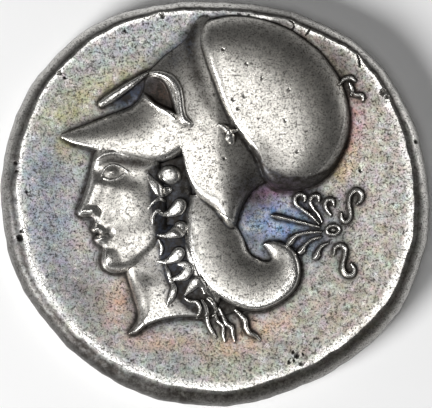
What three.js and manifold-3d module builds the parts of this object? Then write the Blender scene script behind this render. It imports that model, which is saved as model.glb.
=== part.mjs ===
// A struck silver stater of about 340 BC, lying flat with its head side up.
// The head side shows a head in a pushed-back helmet facing left, with a palmette behind the neck.
// The side that it lies on shows a winged horse in lower, worn relief.
// Millimetres, +Z up, +Y towards the top of the head side, origin under the middle of the coin.
import * as THREE from 'three';
import Module from 'manifold-3d';
import { mergeVertices } from 'three/addons/utils/BufferGeometryUtils.js';

// Driving dimensions of the flan, the blank that both dies struck
const FLAN_WIDTH = 21.5;
const FLAN_HEIGHT = 20.3;
const CORE_THICKNESS = 2.05; // from the field of one side to the field of the other
const RIM_RISE = 0.22; // of the raised rim over the head side's field
const RIM_BAND = 0.82; // from the coin's outer edge in to the crest of the head side's rim, on average
const RIM_BAND_DRIFT = 0.2; // how much wider that band is at the foot than on average
const RIM_BAND_DRIFT_TOWARDS = 245; // degrees
const RIM_SLOPE = 0.75; // from the rim's crest in to the flat of the field
const BACK_RIM_RISE = 0.12;
const BACK_RIM_BAND = 0.8;

// Driving dimensions of the two dies. Every height on a die is drawn for the tallest form on it.
const HEAD_RELIEF = 1.1; // the helmet's bowl over the field
const HORSE_RELIEF = 0.5; // the horse as struck
const HORSE_WEAR = 0.12; // what circulation has rubbed off it, which leaves it flat

// The dies are drawn on squared paper, with twenty squares to the millimetre on a coin of this size
const DRAWN_WIDTH = 21.5;
const DRAWN_HEIGHT = 20.3;
const DRAWN_RELIEF = 1.1;
const DRAWN_HORSE_RELIEF = 0.5;
const SQUARES_TO_THE_MM = 20;

// The hammered outline: how many lobes, how far each stands out in millimetres, and towards which angle
const LOBES = [
  [1, 0.16, 85],
  [2, 0.08, -55],
  [3, 0.11, 23],
  [4, 0.09, -40],
  [5, 0.08, -23],
];

const FLAN_SIDES = 60;
const ACROSS = 8; // facets across a broad form
const SINK = 0.3; // how far each form is rooted in the flan
const FINEST = 0.012; // steps smaller than this are left out of the finished surface

const dieScale = Math.min(FLAN_WIDTH / DRAWN_WIDTH, FLAN_HEIGHT / DRAWN_HEIGHT);
const square = dieScale / SQUARES_TO_THE_MM;
const backField = HORSE_RELIEF - HORSE_WEAR;
const headField = backField + CORE_THICKNESS;
const silver = new THREE.MeshStandardMaterial({ color: 0xa8a49c, roughness: 0.36, metalness: 1 });

const wasm = await Module();
wasm.setup();

// Helpers

const lerp = THREE.MathUtils.lerp;
const radians = THREE.MathUtils.degToRad;

// A closed three.js geometry as a solid, turned the right way out
function toSolid(geometry) {
  const bare = new THREE.BufferGeometry();
  bare.setAttribute('position', geometry.getAttribute('position'));
  if (geometry.index) bare.setIndex(geometry.index);
  const merged = mergeVertices(bare, 1e-5);
  const make = (triVerts) =>
    new wasm.Manifold(
      new wasm.Mesh({ numProp: 3, vertProperties: merged.attributes.position.array, triVerts }),
    );
  const triangles = new Uint32Array(merged.index.array);
  const solid = make(triangles);
  return solid.volume() < 0 ? make(triangles.slice().reverse()) : solid;
}

function toGeometry(solid) {
  const { vertProperties, triVerts } = solid.getMesh();
  const geometry = new THREE.BufferGeometry();
  geometry.setAttribute('position', new THREE.BufferAttribute(vertProperties, 3));
  geometry.setIndex(new THREE.BufferAttribute(triVerts, 1));
  geometry.computeVertexNormals();
  return geometry;
}

// Moves every vertex of a geometry to the place that a function gives it
function reshape(geometry, place) {
  const position = geometry.getAttribute('position');
  for (let i = 0; i < position.count; i++) {
    const [x, y, z] = place(position.getX(i), position.getY(i), position.getZ(i));
    position.setXYZ(i, x, y, z);
  }
  return geometry;
}

// A smooth curve through rows of three numbers, read by its share from the first row to the last
function curve(rows, closed = false) {
  const points = rows.map(([a, b, c = 0]) => new THREE.Vector3(a, b, c));
  return new THREE.CatmullRomCurve3(points, closed, 'centripetal');
}

// How high a form stands at a share v of the way across it: 1 at its crest and 0 at its edges.
// A steep edge has a large exponent.
function section(v, crestAt, nearEdge, farEdge) {
  const [away, power] =
    v < crestAt ? [1 - v / crestAt, nearEdge] : [(v - crestAt) / (1 - crestAt), farEdge];
  return Math.sqrt(Math.max(0, 1 - Math.min(1, away) ** power));
}

// Shares from 0 to 1 that crowd towards both ends, where a section bends most
const crowded = (share) => (1 - Math.cos(share * Math.PI)) / 2;

// A form drawn as stations. Each station is a line across the form, from a point on its near edge
// to a point on its far edge, in squares, with the height of the crest between them.
function form(stations, { crestAt = 0.5, nearEdge = 2.5, farEdge = 2.5, along = 2 } = {}) {
  const near = curve(stations.map(([x, y, , , height]) => [x, y, height]));
  const far = curve(stations.map(([, , x, y]) => [x, y]));
  const box = new THREE.BoxGeometry(1, 1, 1, (stations.length - 1) * along, ACROSS, 1);
  return toSolid(
    reshape(box, (x, y, z) => {
      const from = near.getPoint(x + 0.5);
      const to = far.getPoint(x + 0.5);
      const v = crowded(y + 0.5);
      const top = from.z * section(v, crestAt, nearEdge, farEdge);
      return [lerp(from.x, to.x, v) * square, lerp(from.y, to.y, v) * square, z > 0 ? top : -SINK];
    }),
  );
}

// A round-topped ridge along a path. Each row is a point in squares, half the ridge's width there,
// and its height. Rise is how far the round top stands over the form that it lies on.
function ridge(rows, { rise = Infinity, steps = 2 } = {}) {
  const line = curve(rows.map(([x, y, , height]) => [x, y, height]));
  const widths = curve(rows.map(([, , half]) => [half, 0]));
  const box = new THREE.BoxGeometry(1, 1, 1, (rows.length - 1) * steps, 4, 1);
  return toSolid(
    reshape(box, (x, y, z) => {
      const t = x + 0.5;
      const on = line.getPoint(t);
      const along = line.getTangent(t).setZ(0).normalize();
      const off = (crowded(y + 0.5) * 2 - 1) * widths.getPoint(t).x;
      const round = Math.sqrt(Math.max(0, 1 - (2 * crowded(y + 0.5) - 1) ** 2));
      const top = on.z - Math.min(rise, on.z) * (1 - round);
      return [(on.x - along.y * off) * square, (on.y + along.x * off) * square, z > 0 ? top : -SINK];
    }),
  );
}

// Where a dome's rings lie, as shares of the way from its crest out to its outline
const DOME_RINGS = [1, 0.98, 0.92, 0.8, 0.6, 0.3];
const PEBBLE_RINGS = [1, 0.93, 0.7, 0.35];

// A dome that rises from a closed outline to one crest. The exponent of its slope goes from steep
// on the side of steepAt, in degrees, to gentle on the other side.
function dome(outline, [crestX, crestY], height, options = {}) {
  const { steep = 2, gentle = 2, steepAt = 180, sides = 40, rings = DOME_RINGS } = options;
  const edge = curve(outline, true);
  const profile = [new THREE.Vector2(0, -1), new THREE.Vector2(1, -1)];
  rings.forEach((ring) => profile.push(new THREE.Vector2(ring, 1)));
  profile.push(new THREE.Vector2(0, 1));
  return toSolid(
    reshape(new THREE.LatheGeometry(profile, sides), (x, y, z) => {
      const ring = Math.min(1, Math.hypot(x, z));
      const turn = (Math.atan2(z, x) / (2 * Math.PI) + 1) % 1;
      const on = edge.getPoint(turn);
      const facing = Math.atan2(on.y - crestY, on.x - crestX) - radians(steepAt);
      const power = lerp(gentle, steep, (1 + Math.cos(facing)) / 2);
      const top = height * Math.sqrt(Math.max(0, 1 - ring ** power));
      return [lerp(crestX, on.x, ring) * square, lerp(crestY, on.y, ring) * square, y > 0 ? top : -SINK];
    }),
  );
}

// An oval outline, in squares
function oval(x, y, long, short, turn = 0) {
  const [c, s] = [Math.cos(radians(turn)), Math.sin(radians(turn))];
  return Array.from({ length: 10 }, (_, i) => {
    const [a, b] = [Math.cos((i * Math.PI) / 5) * long, Math.sin((i * Math.PI) / 5) * short];
    return [x + a * c - b * s, y + a * s + b * c];
  });
}

const pebble = (x, y, long, short, turn, height) =>
  dome(oval(x, y, long, short, turn), [x, y], height, { sides: 10, rings: PEBBLE_RINGS });

// The flan

// The hammered outline before it is stretched to the flan's width and height, as a radius
function roughRadius(angle) {
  const [a, b] = [FLAN_WIDTH / 2, FLAN_HEIGHT / 2];
  const lobes = LOBES.map(([n, size, towards]) => size * dieScale * Math.cos(n * (angle - radians(towards))));
  return (a * b) / Math.hypot(b * Math.cos(angle), a * Math.sin(angle)) + lobes.reduce((x, y) => x + y, 0);
}

const rimBand = (angle) =>
  RIM_BAND + RIM_BAND_DRIFT * Math.cos(angle - radians(RIM_BAND_DRIFT_TOWARDS));

function roughBox() {
  const box = new THREE.Box2();
  for (let i = 0; i < FLAN_SIDES; i++) {
    const angle = (i / FLAN_SIDES) * 2 * Math.PI;
    const radius = roughRadius(angle);
    box.expandByPoint(new THREE.Vector2(Math.cos(angle) * radius, Math.sin(angle) * radius));
  }
  return box;
}

// Each row is a ring of the flan: how far it lies in from the edge, as a share of the rim's band
// plus a number of slopes further in, and its height.
function flan() {
  const middle = roughBox().getCenter(new THREE.Vector2());
  const size = roughBox().getSize(new THREE.Vector2());
  const [low, high] = [backField - BACK_RIM_RISE, headField + RIM_RISE];
  const rings = [
    [0, 'back', Infinity, backField],
    [1, 'back', 1, backField],
    [1, 'back', 0.35, low],
    [0.8, 'back', 0, low],
    [0.35, 'back', 0, lerp(low, high, 0.1)],
    [0.08, 'back', 0, lerp(low, high, 0.28)],
    [0, 'head', 0, lerp(low, high, 0.46)],
    [0.08, 'head', 0, lerp(low, high, 0.66)],
    [0.35, 'head', 0, lerp(low, high, 0.86)],
    [0.8, 'head', 0, lerp(low, high, 0.98)],
    [1, 'head', 0, high],
    [1, 'head', 0.35, lerp(headField, high, 0.6)],
    [1, 'head', 1, headField],
    [0, 'head', Infinity, headField],
  ];
  const profile = rings.map((_, i) => new THREE.Vector2(i === 0 || i === rings.length - 1 ? 0 : 1, i));
  return toSolid(
    reshape(new THREE.LatheGeometry(profile, FLAN_SIDES), (x, y, z) => {
      const [share, side, slopes, height] = rings[Math.round(y)];
      const angle = Math.atan2(z, x);
      if (slopes === Infinity) return [0, 0, height];
      const band = side === 'head' ? rimBand(angle) : BACK_RIM_BAND;
      const radius = roughRadius(angle) - band * share - RIM_SLOPE * slopes;
      return [
        ((Math.cos(angle) * radius - middle.x) * FLAN_WIDTH) / size.x,
        ((Math.sin(angle) * radius - middle.y) * FLAN_HEIGHT) / size.y,
        height,
      ];
    }),
  );
}

// The head side: the helmet

const BOWL_OUTLINE = [
  [-15, 168], [0, 185], [40, 188], [80, 173], [115, 141], [134, 101],
  [132, 58], [108, 25], [70, 13], [44, 36], [18, 75], [-4, 122],
];
const BOWL_CREST = [52, 96];

// From the peak's tip back along the brow and down round the nape, near edge above and in front
const SHELL = [
  [-154, 70, -154, 66, 0.14], [-130, 81, -131, 58, 0.42], [-104, 95, -107, 51, 0.56],
  [-78, 108, -80, 46, 0.66], [-70, 120, -57, 41, 0.72], [-66, 134, -28, 52, 0.78],
  [-55, 145, -29, 30, 0.84], [-42, 155, -20, 8, 0.86], [-26, 168, 2, -8, 0.82],
  [-21, 182, 20, -23, 0.7], [-18, 186, 28, -4, 0.7], [-14, 190, 38, 12, 0.7], [-8, 192, 50, 22, 0.66],
];

const BROW_BAND = [
  [-70, 130, 2, 0.66], [-61, 133, 3.5, 0.82], [-49, 129, 4.5, 0.9], [-39, 117, 5, 0.96],
  [-35, 101, 5, 0.98], [-34, 86, 5, 0.96], [-28, 80, 4, 0.94], [-23, 81, 2, 0.9],
];
const SECOND_BROW = [
  [-115, 99, 1.5, 0.3], [-109, 104, 3, 0.42], [-93, 114, 3, 0.44], [-79, 123, 2, 0.42], [-69, 130, 1, 0.4],
];
const EYE_OPENING = [
  [-73, 126, -73, 111, 0.6],
  [-64, 129, -64, 103, 0.6],
  [-52, 126, -54, 96, 0.6],
  [-44, 116, -46, 92, 0.6],
  [-38, 98, -39, 89, 0.6],
];
const EYE_OPENING_FLOOR = 0.3;
const CREST_HOLDER = [
  [[5, 77, 1.6, 0.92], [10, 80, 2, 0.94], [16, 80, 1.6, 0.94]],
  [[9, 78, 2, 0.94], [12, 69, 2.2, 0.94], [18, 65, 2.2, 0.94], [23, 69, 1.6, 0.92]],
];

function helmet() {
  const opening = form(EYE_OPENING, { nearEdge: 8, farEdge: 8 }).translate([0, 0, EYE_OPENING_FLOOR + SINK]);
  const shell = form(SHELL, { crestAt: 0.66, nearEdge: 1.9, farEdge: 4 });
  return [
    shell.add(ridge(SECOND_BROW)).subtract(opening),
    dome(BOWL_OUTLINE, BOWL_CREST, 1.1, { steep: 6, gentle: 2.6, steepAt: 215 }),
    ridge(BROW_BAND, { rise: 0.2 }),
    ...CREST_HOLDER.map((rows) => ridge(rows, { rise: 0.15 })),
  ];
}

// The head side: the neck guard, which ends in a scroll

// From under the helmet down round the scroll, near edge outside and far edge inside
const NECK_GUARD = [
  [-23, -3, -14, -3, 0.46], [-26, -21, 8, -12, 0.56], [-25, -38, 22, -22, 0.6],
  [-20, -58, 28, -33, 0.62], [-10, -82, 31, -42, 0.64], [6, -99, 37, -50, 0.64],
  [30, -108, 43, -55, 0.62], [56, -106, 48, -58, 0.6], [74, -92, 52, -60, 0.55],
  [82, -72, 54, -59, 0.48], [76, -54, 55, -56, 0.4], [64, -46, 53, -51, 0.33],
  [50, -42, 49, -45, 0.26],
];
const GUARD_EDGE_HALF = 4.2; // half the width of the roll along its outer edge, where it is widest
const GUARD_EDGE_RISE = 0.12;

// The roll follows the outer edge of the guard, and thins out towards both ends
function guardRoll() {
  const last = NECK_GUARD.length - 1;
  const rows = NECK_GUARD.map(([x, y, farX, farY, height], i) => {
    const half = 1 + (GUARD_EDGE_HALF - 1) * Math.sin((Math.PI * i) / last) ** 0.7;
    const inwards = half / Math.hypot(farX - x, farY - y);
    return [lerp(x, farX, inwards), lerp(y, farY, inwards), half, height + GUARD_EDGE_RISE];
  });
  return ridge(rows, { rise: 2 * GUARD_EDGE_RISE });
}

// The head side: the face and the neck. The face is a plain canon of thirds.

const FACE_THIRD = 60; // in squares: brow to nose base, and nose base to chin
const FACE_TILT = 7; // degrees, chin towards the neck
const BROW_AT = [-122, 50]; // the bridge of the nose at the level of the brow

// A point of the face: thirds forward of the bridge and thirds below it
function face(forward, down) {
  const [c, s] = [Math.cos(radians(FACE_TILT)), Math.sin(radians(FACE_TILT))];
  return [
    BROW_AT[0] + FACE_THIRD * (down * s - forward * c),
    BROW_AT[1] - FACE_THIRD * (down * c + forward * s),
  ];
}

// Down the profile: thirds forward and down, and its height
const PROFILE = [
  [-0.02, -0.2, 0.56], [0.03, 0.12, 0.6], [0.22, 0.5, 0.64], [0.4, 0.86, 0.66], [0.41, 0.96, 0.66],
  [0.16, 1.04, 0.64], [0.22, 1.22, 0.66], [0.12, 1.33, 0.6], [0.17, 1.44, 0.64], [0.05, 1.6, 0.6],
  [0.12, 1.82, 0.62], [0.02, 1.96, 0.56],
];
const PROFILE_DEPTH = 0.5; // in thirds, how far in from the profile its own modelling reaches
// The rest of the face, from the forehead down to the chin, back along the jaw and up past the ear
const CHEEK_OUTLINE = [
  [-0.1, -0.25], [-0.14, 0.3], [-0.06, 0.8], [-0.12, 1.3], [-0.08, 1.75], [-0.22, 1.98], [-0.55, 1.95],
  [-0.85, 1.78], [-1.06, 1.45], [-1.14, 0.9], [-1.12, 0.3], [-1.1, -0.3], [-0.6, -0.4],
];
const CHEEK_CREST = [-0.56, 1.05];
const CHEEK_HEIGHT = 0.74;
// Small rounded features: thirds forward and down, half length and half width, turn, and height
const FEATURES = [
  [0.2, 0.93, 0.13, 0.09, 0, 0.7], // the wing of the nose
  [0.08, 1.26, 0.14, 0.06, -14, 0.68], // the upper lip
  [0.05, 1.42, 0.12, 0.065, 10, 0.67], // the lower lip
  [-0.03, 1.78, 0.2, 0.16, 0, 0.72], // the chin
  [-0.26, 0.34, 0.12, 0.09, 0, 0.76], // the eye
];

// The brow and the eye's lids: thirds forward and down, and half widths in squares
const LIDS = [
  [[0, 0.14, 1.2], [-0.2, 0.02, 2.6], [-0.45, 0.02, 2.4], [-0.66, 0.14, 1]],
  [[-0.1, 0.36, 1], [-0.24, 0.23, 1.8], [-0.42, 0.26, 1.6], [-0.56, 0.4, 0.8]],
  [[-0.12, 0.4, 0.8], [-0.28, 0.46, 1.4], [-0.46, 0.42, 0.8]],
];
const LID_HEIGHT = 0.8;

function head() {
  const stations = PROFILE.map(([forward, down, height]) => [
    ...face(forward, down),
    ...face(-PROFILE_DEPTH, down),
    height,
  ]);
  return [
    form(stations, { crestAt: 0.55, nearEdge: 3, farEdge: 8, along: 1 }),
    dome(CHEEK_OUTLINE.map(([forward, down]) => face(forward, down)), face(...CHEEK_CREST), CHEEK_HEIGHT, {
      steep: 3,
      gentle: 2,
      steepAt: 300,
      sides: 28,
    }),
    ...FEATURES.map(([forward, down, long, short, turn, height]) =>
      pebble(...face(forward, down), long * FACE_THIRD, short * FACE_THIRD, turn - FACE_TILT, height),
    ),
    ...LIDS.map((rows) =>
      ridge(rows.map(([forward, down, half]) => [...face(forward, down), half, LID_HEIGHT])),
    ),
  ];
}

// From under the jaw to the cut of the neck, near edge at the throat
const NECK = [
  [-92, -62, -24, -50, 0.46], [-86, -80, -18, -72, 0.52], [-81, -96, -12, -90, 0.52],
  [-79, -108, -10, -104, 0.5], [-80, -115, -20, -113, 0.48], [-82, -121, -45, -115, 0.44],
  [-84, -126, -68, -122, 0.36], [-86, -131, -84, -130, 0.24],
];

// The head side: the hair

const TEMPLE_CURL = [-45, 28, 10, 8.5];
const TEMPLE_CURL_HEIGHT = 0.84;
const LOCK_HEIGHT = 0.75;
// Combed locks that end in a curl, as points with half widths, from the tail to the curl
const LOCKS = [
  [[-65, 28, 1.5], [-59, 18, 4], [-51, 12, 5], [-42, 15, 4.5], [-35, 21, 2]],
  [[-66, -3, 1], [-60, 4, 1.8], [-54, 5, 1.8], [-49, 2, 1]],
  [[-62, -19, 1], [-61, -11, 1.8], [-57, -6, 2], [-53, -9, 1]],
  [[-54, -9, 1], [-43, -9, 2.2], [-37, -8, 5.4], [-32, -4, 5], [-32, 3, 1.5]],
  [[-58, -32, 1], [-44, -30, 2.6], [-37, -29, 5.5], [-32, -25, 5], [-32, -19, 1.5]],
  [[-57, -46, 1], [-53, -56, 1.6], [-45, -54, 2.6], [-39, -54, 5], [-35, -51, 4.5], [-35, -45, 1.5]],
  [[-41, -74, 1.5], [-35, -72, 2.4], [-28, -72, 3.6], [-25, -66, 4], [-30, -61, 2.8], [-35, -60, 1]],
  [[-27, -88, 1.5], [-22, -80, 4], [-18, -77, 5.5], [-13, -80, 3.6], [-10, -87, 1.5]],
  [[-42, -77, 1], [-41, -85, 2.2], [-42, -93, 2.6], [-47, -100, 1]],
];
// Loose strands below the neck guard, as points with half widths and heights
const STRANDS = [
  [[-30, -94, 1.8, 0.56], [-20, -97, 2.2, 0.56], [-16, -104, 2.2, 0.54], [-18, -115, 1.2, 0.5]],
  [[-13, -97, 1.8, 0.5], [-8, -106, 2.2, 0.46], [-7, -116, 2.2, 0.4], [-4, -125, 2, 0.3], [1, -133, 1, 0.2]],
  [[-6, -95, 2, 0.5], [0, -102, 2.6, 0.46], [4, -113, 2.2, 0.38], [8, -124, 2, 0.28], [8, -137, 1, 0.2]],
  [[7, -109, 2, 0.42], [10, -118, 2.4, 0.36], [17, -125, 2.4, 0.28], [19, -137, 1, 0.2]],
  [[22, -106, 2, 0.42], [30, -114, 2.8, 0.38], [31, -125, 2.6, 0.32], [39, -131, 2.2, 0.26], [45, -137, 1, 0.2]],
];
// The mass of hair that the locks lie on
const HAIR_BED = [
  [-70, 36, -30, 50, 0.4], [-68, 12, -24, 18, 0.38], [-64, -20, -22, -4, 0.38],
  [-56, -50, -18, -40, 0.36], [-46, -80, -8, -78, 0.34], [-30, -104, 10, -98, 0.3],
  [-14, -116, 30, -106, 0.2],
];

const level = (rows, height) => rows.map(([x, y, half]) => [x, y, half, height]);

function hair() {
  const [x, y, long, short] = TEMPLE_CURL;
  return [
    form(HAIR_BED, { nearEdge: 3, farEdge: 3, along: 1 }),
    pebble(x, y, long, short, -10, TEMPLE_CURL_HEIGHT),
    ...LOCKS.map((rows) => ridge(level(rows, LOCK_HEIGHT))),
    ...STRANDS.map((rows) => ridge(rows, { steps: 1 })),
  ];
}

// The head side: the palmette and the mark beside the bowl

const PALMETTE_HEIGHT = 0.26;
// Petals as points with half widths, from the heart out past their round ends
const PETALS = [
  [[104, -23, 1.6], [80, -17, 1.9], [60, -12, 2.6], [54, -11, 1.2]],
  [[104, -20, 1], [93, -10, 1.4], [86, 1, 3.4], [84, 4, 1.4]],
  [[108, -18, 1], [102, -9, 1.4], [101, 2, 3.4], [101, 5, 1.4]],
  [[115, -12, 1.4], [115, -4, 2], [116, 2, 3], [116, 5, 1.4]],
  [[106, -28, 1], [89, -30, 1.8], [76, -37, 3], [73, -39, 1.4]],
  [[106, -33, 1], [95, -38, 1.8], [87, -46, 3.2], [85, -48, 1.4]],
  [[113, -38, 1], [106, -42, 1.8], [102, -50, 3.2], [101, -53, 1.4]],
];
const SCROLLS = [
  [
    [127, -10, 1.4], [127, -17, 2], [133, -19, 2.2], [136, -11, 2], [135, -1, 1.6],
    [137, 9, 1.6], [143, 13, 2.4], [146, 7, 2.6], [142, 3, 1.2],
  ],
  [
    [119, -49, 1.4], [121, -43, 1.8], [128, -42, 2.4], [130, -51, 2.2], [127, -62, 2.2],
    [130, -71, 2.6], [137, -69, 2.8], [138, -61, 1.4],
  ],
];
const HEART = [118, -26];
const MARK = [
  [[125, 120, 1], [130, 125, 1.5], [137, 124, 1]],
  [[134, 120, 1], [136, 115, 1.6]],
  [[137, 112, 1], [141, 108, 1.6], [147, 108, 1]],
];

function palmette() {
  const [x, y] = HEART;
  const eye = ridge(
    [...oval(x, y, 6, 4, -5), [x + 6, y]].map(([a, b]) => [a, b, 1.2, PALMETTE_HEIGHT * 0.7]),
    { steps: 1 },
  );
  return [
    ...PETALS.map((rows) => ridge(level(rows, PALMETTE_HEIGHT))),
    ...SCROLLS.map((rows) => ridge(level(rows, PALMETTE_HEIGHT))),
    eye,
    pebble(x, y, 2.5, 2, 0, PALMETTE_HEIGHT),
  ];
}

// The underside: a winged horse, drawn as it is seen from that side, flying left

const BARREL = [
  [-66, 8, -52, -42, 0.5], [-46, 20, -36, -52, 0.5], [-12, 22, -4, -48, 0.5], [26, 18, 26, -41, 0.5],
  [58, 20, 58, -45, 0.5], [84, 12, 80, -52, 0.5], [98, -8, 94, -36, 0.46],
];
const NECK_AND_HEAD = [
  [-42, -8, 26, 0.5], [-66, 24, 21, 0.5], [-86, 54, 15, 0.48], [-101, 70, 13, 0.47],
  [-119, 61, 11, 0.46], [-133, 47, 8, 0.45], [-141, 39, 6.5, 0.42],
];
const EAR = [[-98, 78, 4, 0.42], [-95, 88, 3.4, 0.42], [-90, 96, 1.6, 0.4]];
const MANE = [[-88, 84, 3, 0.42], [-72, 68, 4.4, 0.42], [-55, 44, 5, 0.42], [-44, 22, 4, 0.42]];
const LEGS = [
  [[-52, -28, 18, 0.5], [-92, -32, 9, 0.46], [-122, -10, 7, 0.45], [-132, -34, 5, 0.44], [-139, -42, 7, 0.44]],
  [[-40, -38, 17, 0.48], [-74, -64, 8.5, 0.45], [-106, -56, 6.5, 0.44], [-114, -80, 5, 0.43], [-121, -88, 7, 0.43]],
  [[82, -28, 21, 0.5], [110, -60, 11, 0.46], [132, -54, 7.5, 0.45], [146, -74, 5.5, 0.44], [153, -82, 7, 0.44]],
  [[66, -36, 19, 0.48], [82, -78, 10, 0.45], [106, -88, 7, 0.44], [114, -112, 5.5, 0.43], [121, -120, 7, 0.43]],
];
const TAIL = [
  [94, -4, 6, 0.44], [116, 11, 8, 0.45], [138, 3, 8, 0.44], [152, -18, 6, 0.42], [163, -16, 3, 0.4],
];
const WING_ARM = [[-36, -10, 15, 0.5], [-22, 28, 13, 0.5], [6, 56, 11, 0.5], [38, 78, 8, 0.48]];
const FEATHERS = 5;
const FEATHER_HEIGHT = 0.44;

// Feathers fan out behind the wing's arm and curl forward at their tips, the top one furthest
function wing() {
  const feathers = Array.from({ length: FEATHERS }, (_, i) => {
    const share = i / (FEATHERS - 1);
    const [x, y] = [lerp(34, -14, share), lerp(72, 14, share)];
    const [reach, lift, tip] = [62, lerp(50, 12, share), lerp(26, 12, share)];
    return ridge(
      level(
        [
          [x, y, 6],
          [x + reach * 0.5, y + lift * 0.35, 6.4],
          [x + reach * 0.9, y + lift * 0.8, 5.6],
          [x + reach, y + lift + tip * 0.5, 4],
          [x + reach * 0.9, y + lift + tip, 1.6],
        ],
        FEATHER_HEIGHT,
      ),
      { steps: 1 },
    );
  });
  return [ridge(WING_ARM), ...feathers];
}

function horse() {
  return [
    form(BARREL, { nearEdge: 3, farEdge: 3, along: 1 }),
    ridge(NECK_AND_HEAD),
    ridge(TAIL),
    ...[EAR, MANE, ...LEGS].map((rows) => ridge(rows, { steps: 1 })),
    ...wing(),
  ];
}

// The whole coin

const rubbedOff = () =>
  toSolid(new THREE.BoxGeometry(2 * FLAN_WIDTH, 2 * FLAN_WIDTH, HORSE_RELIEF).translate(0, 0, -HORSE_RELIEF / 2));

// Stands a die's forms on their field and joins them
function struck(forms, scale) {
  return wasm.Manifold.union(forms).scale([1, 1, scale]);
}

function stater() {
  const headForms = [
    ...helmet(), form(NECK_GUARD, { crestAt: 0.2, nearEdge: 5, farEdge: 1.7 }), guardRoll(),
    ...head(), form(NECK, { crestAt: 0.5, nearEdge: 3, farEdge: 3 }), ...hair(), ...palmette(),
    ...MARK.map((rows) => ridge(level(rows, PALMETTE_HEIGHT))),
  ];
  const headSide = struck(headForms, HEAD_RELIEF / DRAWN_RELIEF).translate([0, 0, headField]);
  const horseSide = struck(horse(), HORSE_RELIEF / DRAWN_HORSE_RELIEF)
    .rotate([0, 180, 0])
    .translate([0, 0, backField]);
  const coin = wasm.Manifold.union([flan(), headSide, horseSide]).subtract(rubbedOff());
  const mesh = new THREE.Mesh(toGeometry(coin.simplify(FINEST)), silver);
  mesh.name = 'stater';
  return mesh;
}

const part = new THREE.Group();
part.add(stater());

export default part;
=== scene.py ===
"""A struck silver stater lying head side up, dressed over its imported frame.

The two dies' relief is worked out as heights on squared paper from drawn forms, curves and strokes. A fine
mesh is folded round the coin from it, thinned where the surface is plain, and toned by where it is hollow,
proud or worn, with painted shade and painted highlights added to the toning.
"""

import copy

import bpy
import numpy as np
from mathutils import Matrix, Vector


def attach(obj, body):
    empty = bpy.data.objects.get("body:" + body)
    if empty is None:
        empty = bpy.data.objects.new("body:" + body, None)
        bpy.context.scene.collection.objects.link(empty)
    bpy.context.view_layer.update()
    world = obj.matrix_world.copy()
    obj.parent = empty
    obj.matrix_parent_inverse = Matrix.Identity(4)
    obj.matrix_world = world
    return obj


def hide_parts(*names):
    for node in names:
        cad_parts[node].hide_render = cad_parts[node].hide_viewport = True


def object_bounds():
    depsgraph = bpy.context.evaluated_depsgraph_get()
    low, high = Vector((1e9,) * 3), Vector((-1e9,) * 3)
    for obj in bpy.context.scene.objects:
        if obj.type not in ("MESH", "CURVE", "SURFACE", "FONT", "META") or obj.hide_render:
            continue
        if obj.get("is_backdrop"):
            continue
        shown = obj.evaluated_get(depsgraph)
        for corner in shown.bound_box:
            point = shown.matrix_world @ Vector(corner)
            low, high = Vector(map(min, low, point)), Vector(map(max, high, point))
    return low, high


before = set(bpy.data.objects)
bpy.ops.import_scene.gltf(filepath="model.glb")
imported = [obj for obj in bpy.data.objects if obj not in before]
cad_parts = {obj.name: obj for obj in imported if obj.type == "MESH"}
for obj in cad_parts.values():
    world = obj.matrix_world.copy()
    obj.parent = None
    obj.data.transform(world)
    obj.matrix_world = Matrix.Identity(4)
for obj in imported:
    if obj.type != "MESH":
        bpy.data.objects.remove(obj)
CAD_LOW, CAD_HIGH = (np.array(corner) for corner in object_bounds())

bl_info = {
    "name": "Silver stater",
    "version": (1, 0, 0),
    "blender": (4, 5, 0),
    "location": "View3D > Sidebar > Stater",
    "description": "Builds a struck silver coin, its patina and a photographer's table for it",
    "category": "Object",
}

# Sizes

SQUARES = 20 * 1000  # the drawing's squares in a metre
MM = SQUARES / 1000  # and in a millimetre
HALF_WIDTH, HALF_HEIGHT = (CAD_HIGH - CAD_LOW)[:2] / 2 * SQUARES
# In millimetres from here on: the two fields over the table, and what rises over them
BOWL_RELIEF = 1.1
HEAD_FIELD = CAD_HIGH[2] * 1000 - BOWL_RELIEF
RIM_RISE = 0.16
BACK_FIELD = 0.38
BACK_RIM_RISE = 0.12
EDGE_AT = 0.46  # where the edge stands out furthest, as a share of the way from the back rim to the head's
EDGE_HEIGHT = (BACK_FIELD - BACK_RIM_RISE) * (1 - EDGE_AT) + (HEAD_FIELD + RIM_RISE) * EDGE_AT
DROP_TO_EDGE = HEAD_FIELD - EDGE_HEIGHT
PAPER_SPACING = 1 / 3  # of a drawing square
PAPER_MARGIN = 4  # squares of paper beyond the coin's box

# The camera looks straight down from this height at a frame a little wider than the coin, in metres
CAMERA_HEIGHT = 0.5
FRAME_WIDTH = 432 / SQUARES
FRAME_OFF = 1 / SQUARES
FRAMED_AT = 0.6  # the height at which the frame has that width, as a share of the coin's


# Curves, and coordinates on forms that are drawn with them

def eased(share):
    """From 0 to 1 with level ends: three times the share's square less twice its cube."""
    share = np.clip(share, 0, 1)
    return share**2 * (3 - 2 * share)


def turned(x, y, at, turn):
    """How far points are from a place, along and across a direction turned by some degrees."""
    c, s = np.cos(np.radians(turn)), np.sin(np.radians(turn))
    return (x - at[0]) * c + (y - at[1]) * s, (y - at[1]) * c - (x - at[0]) * s


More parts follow.
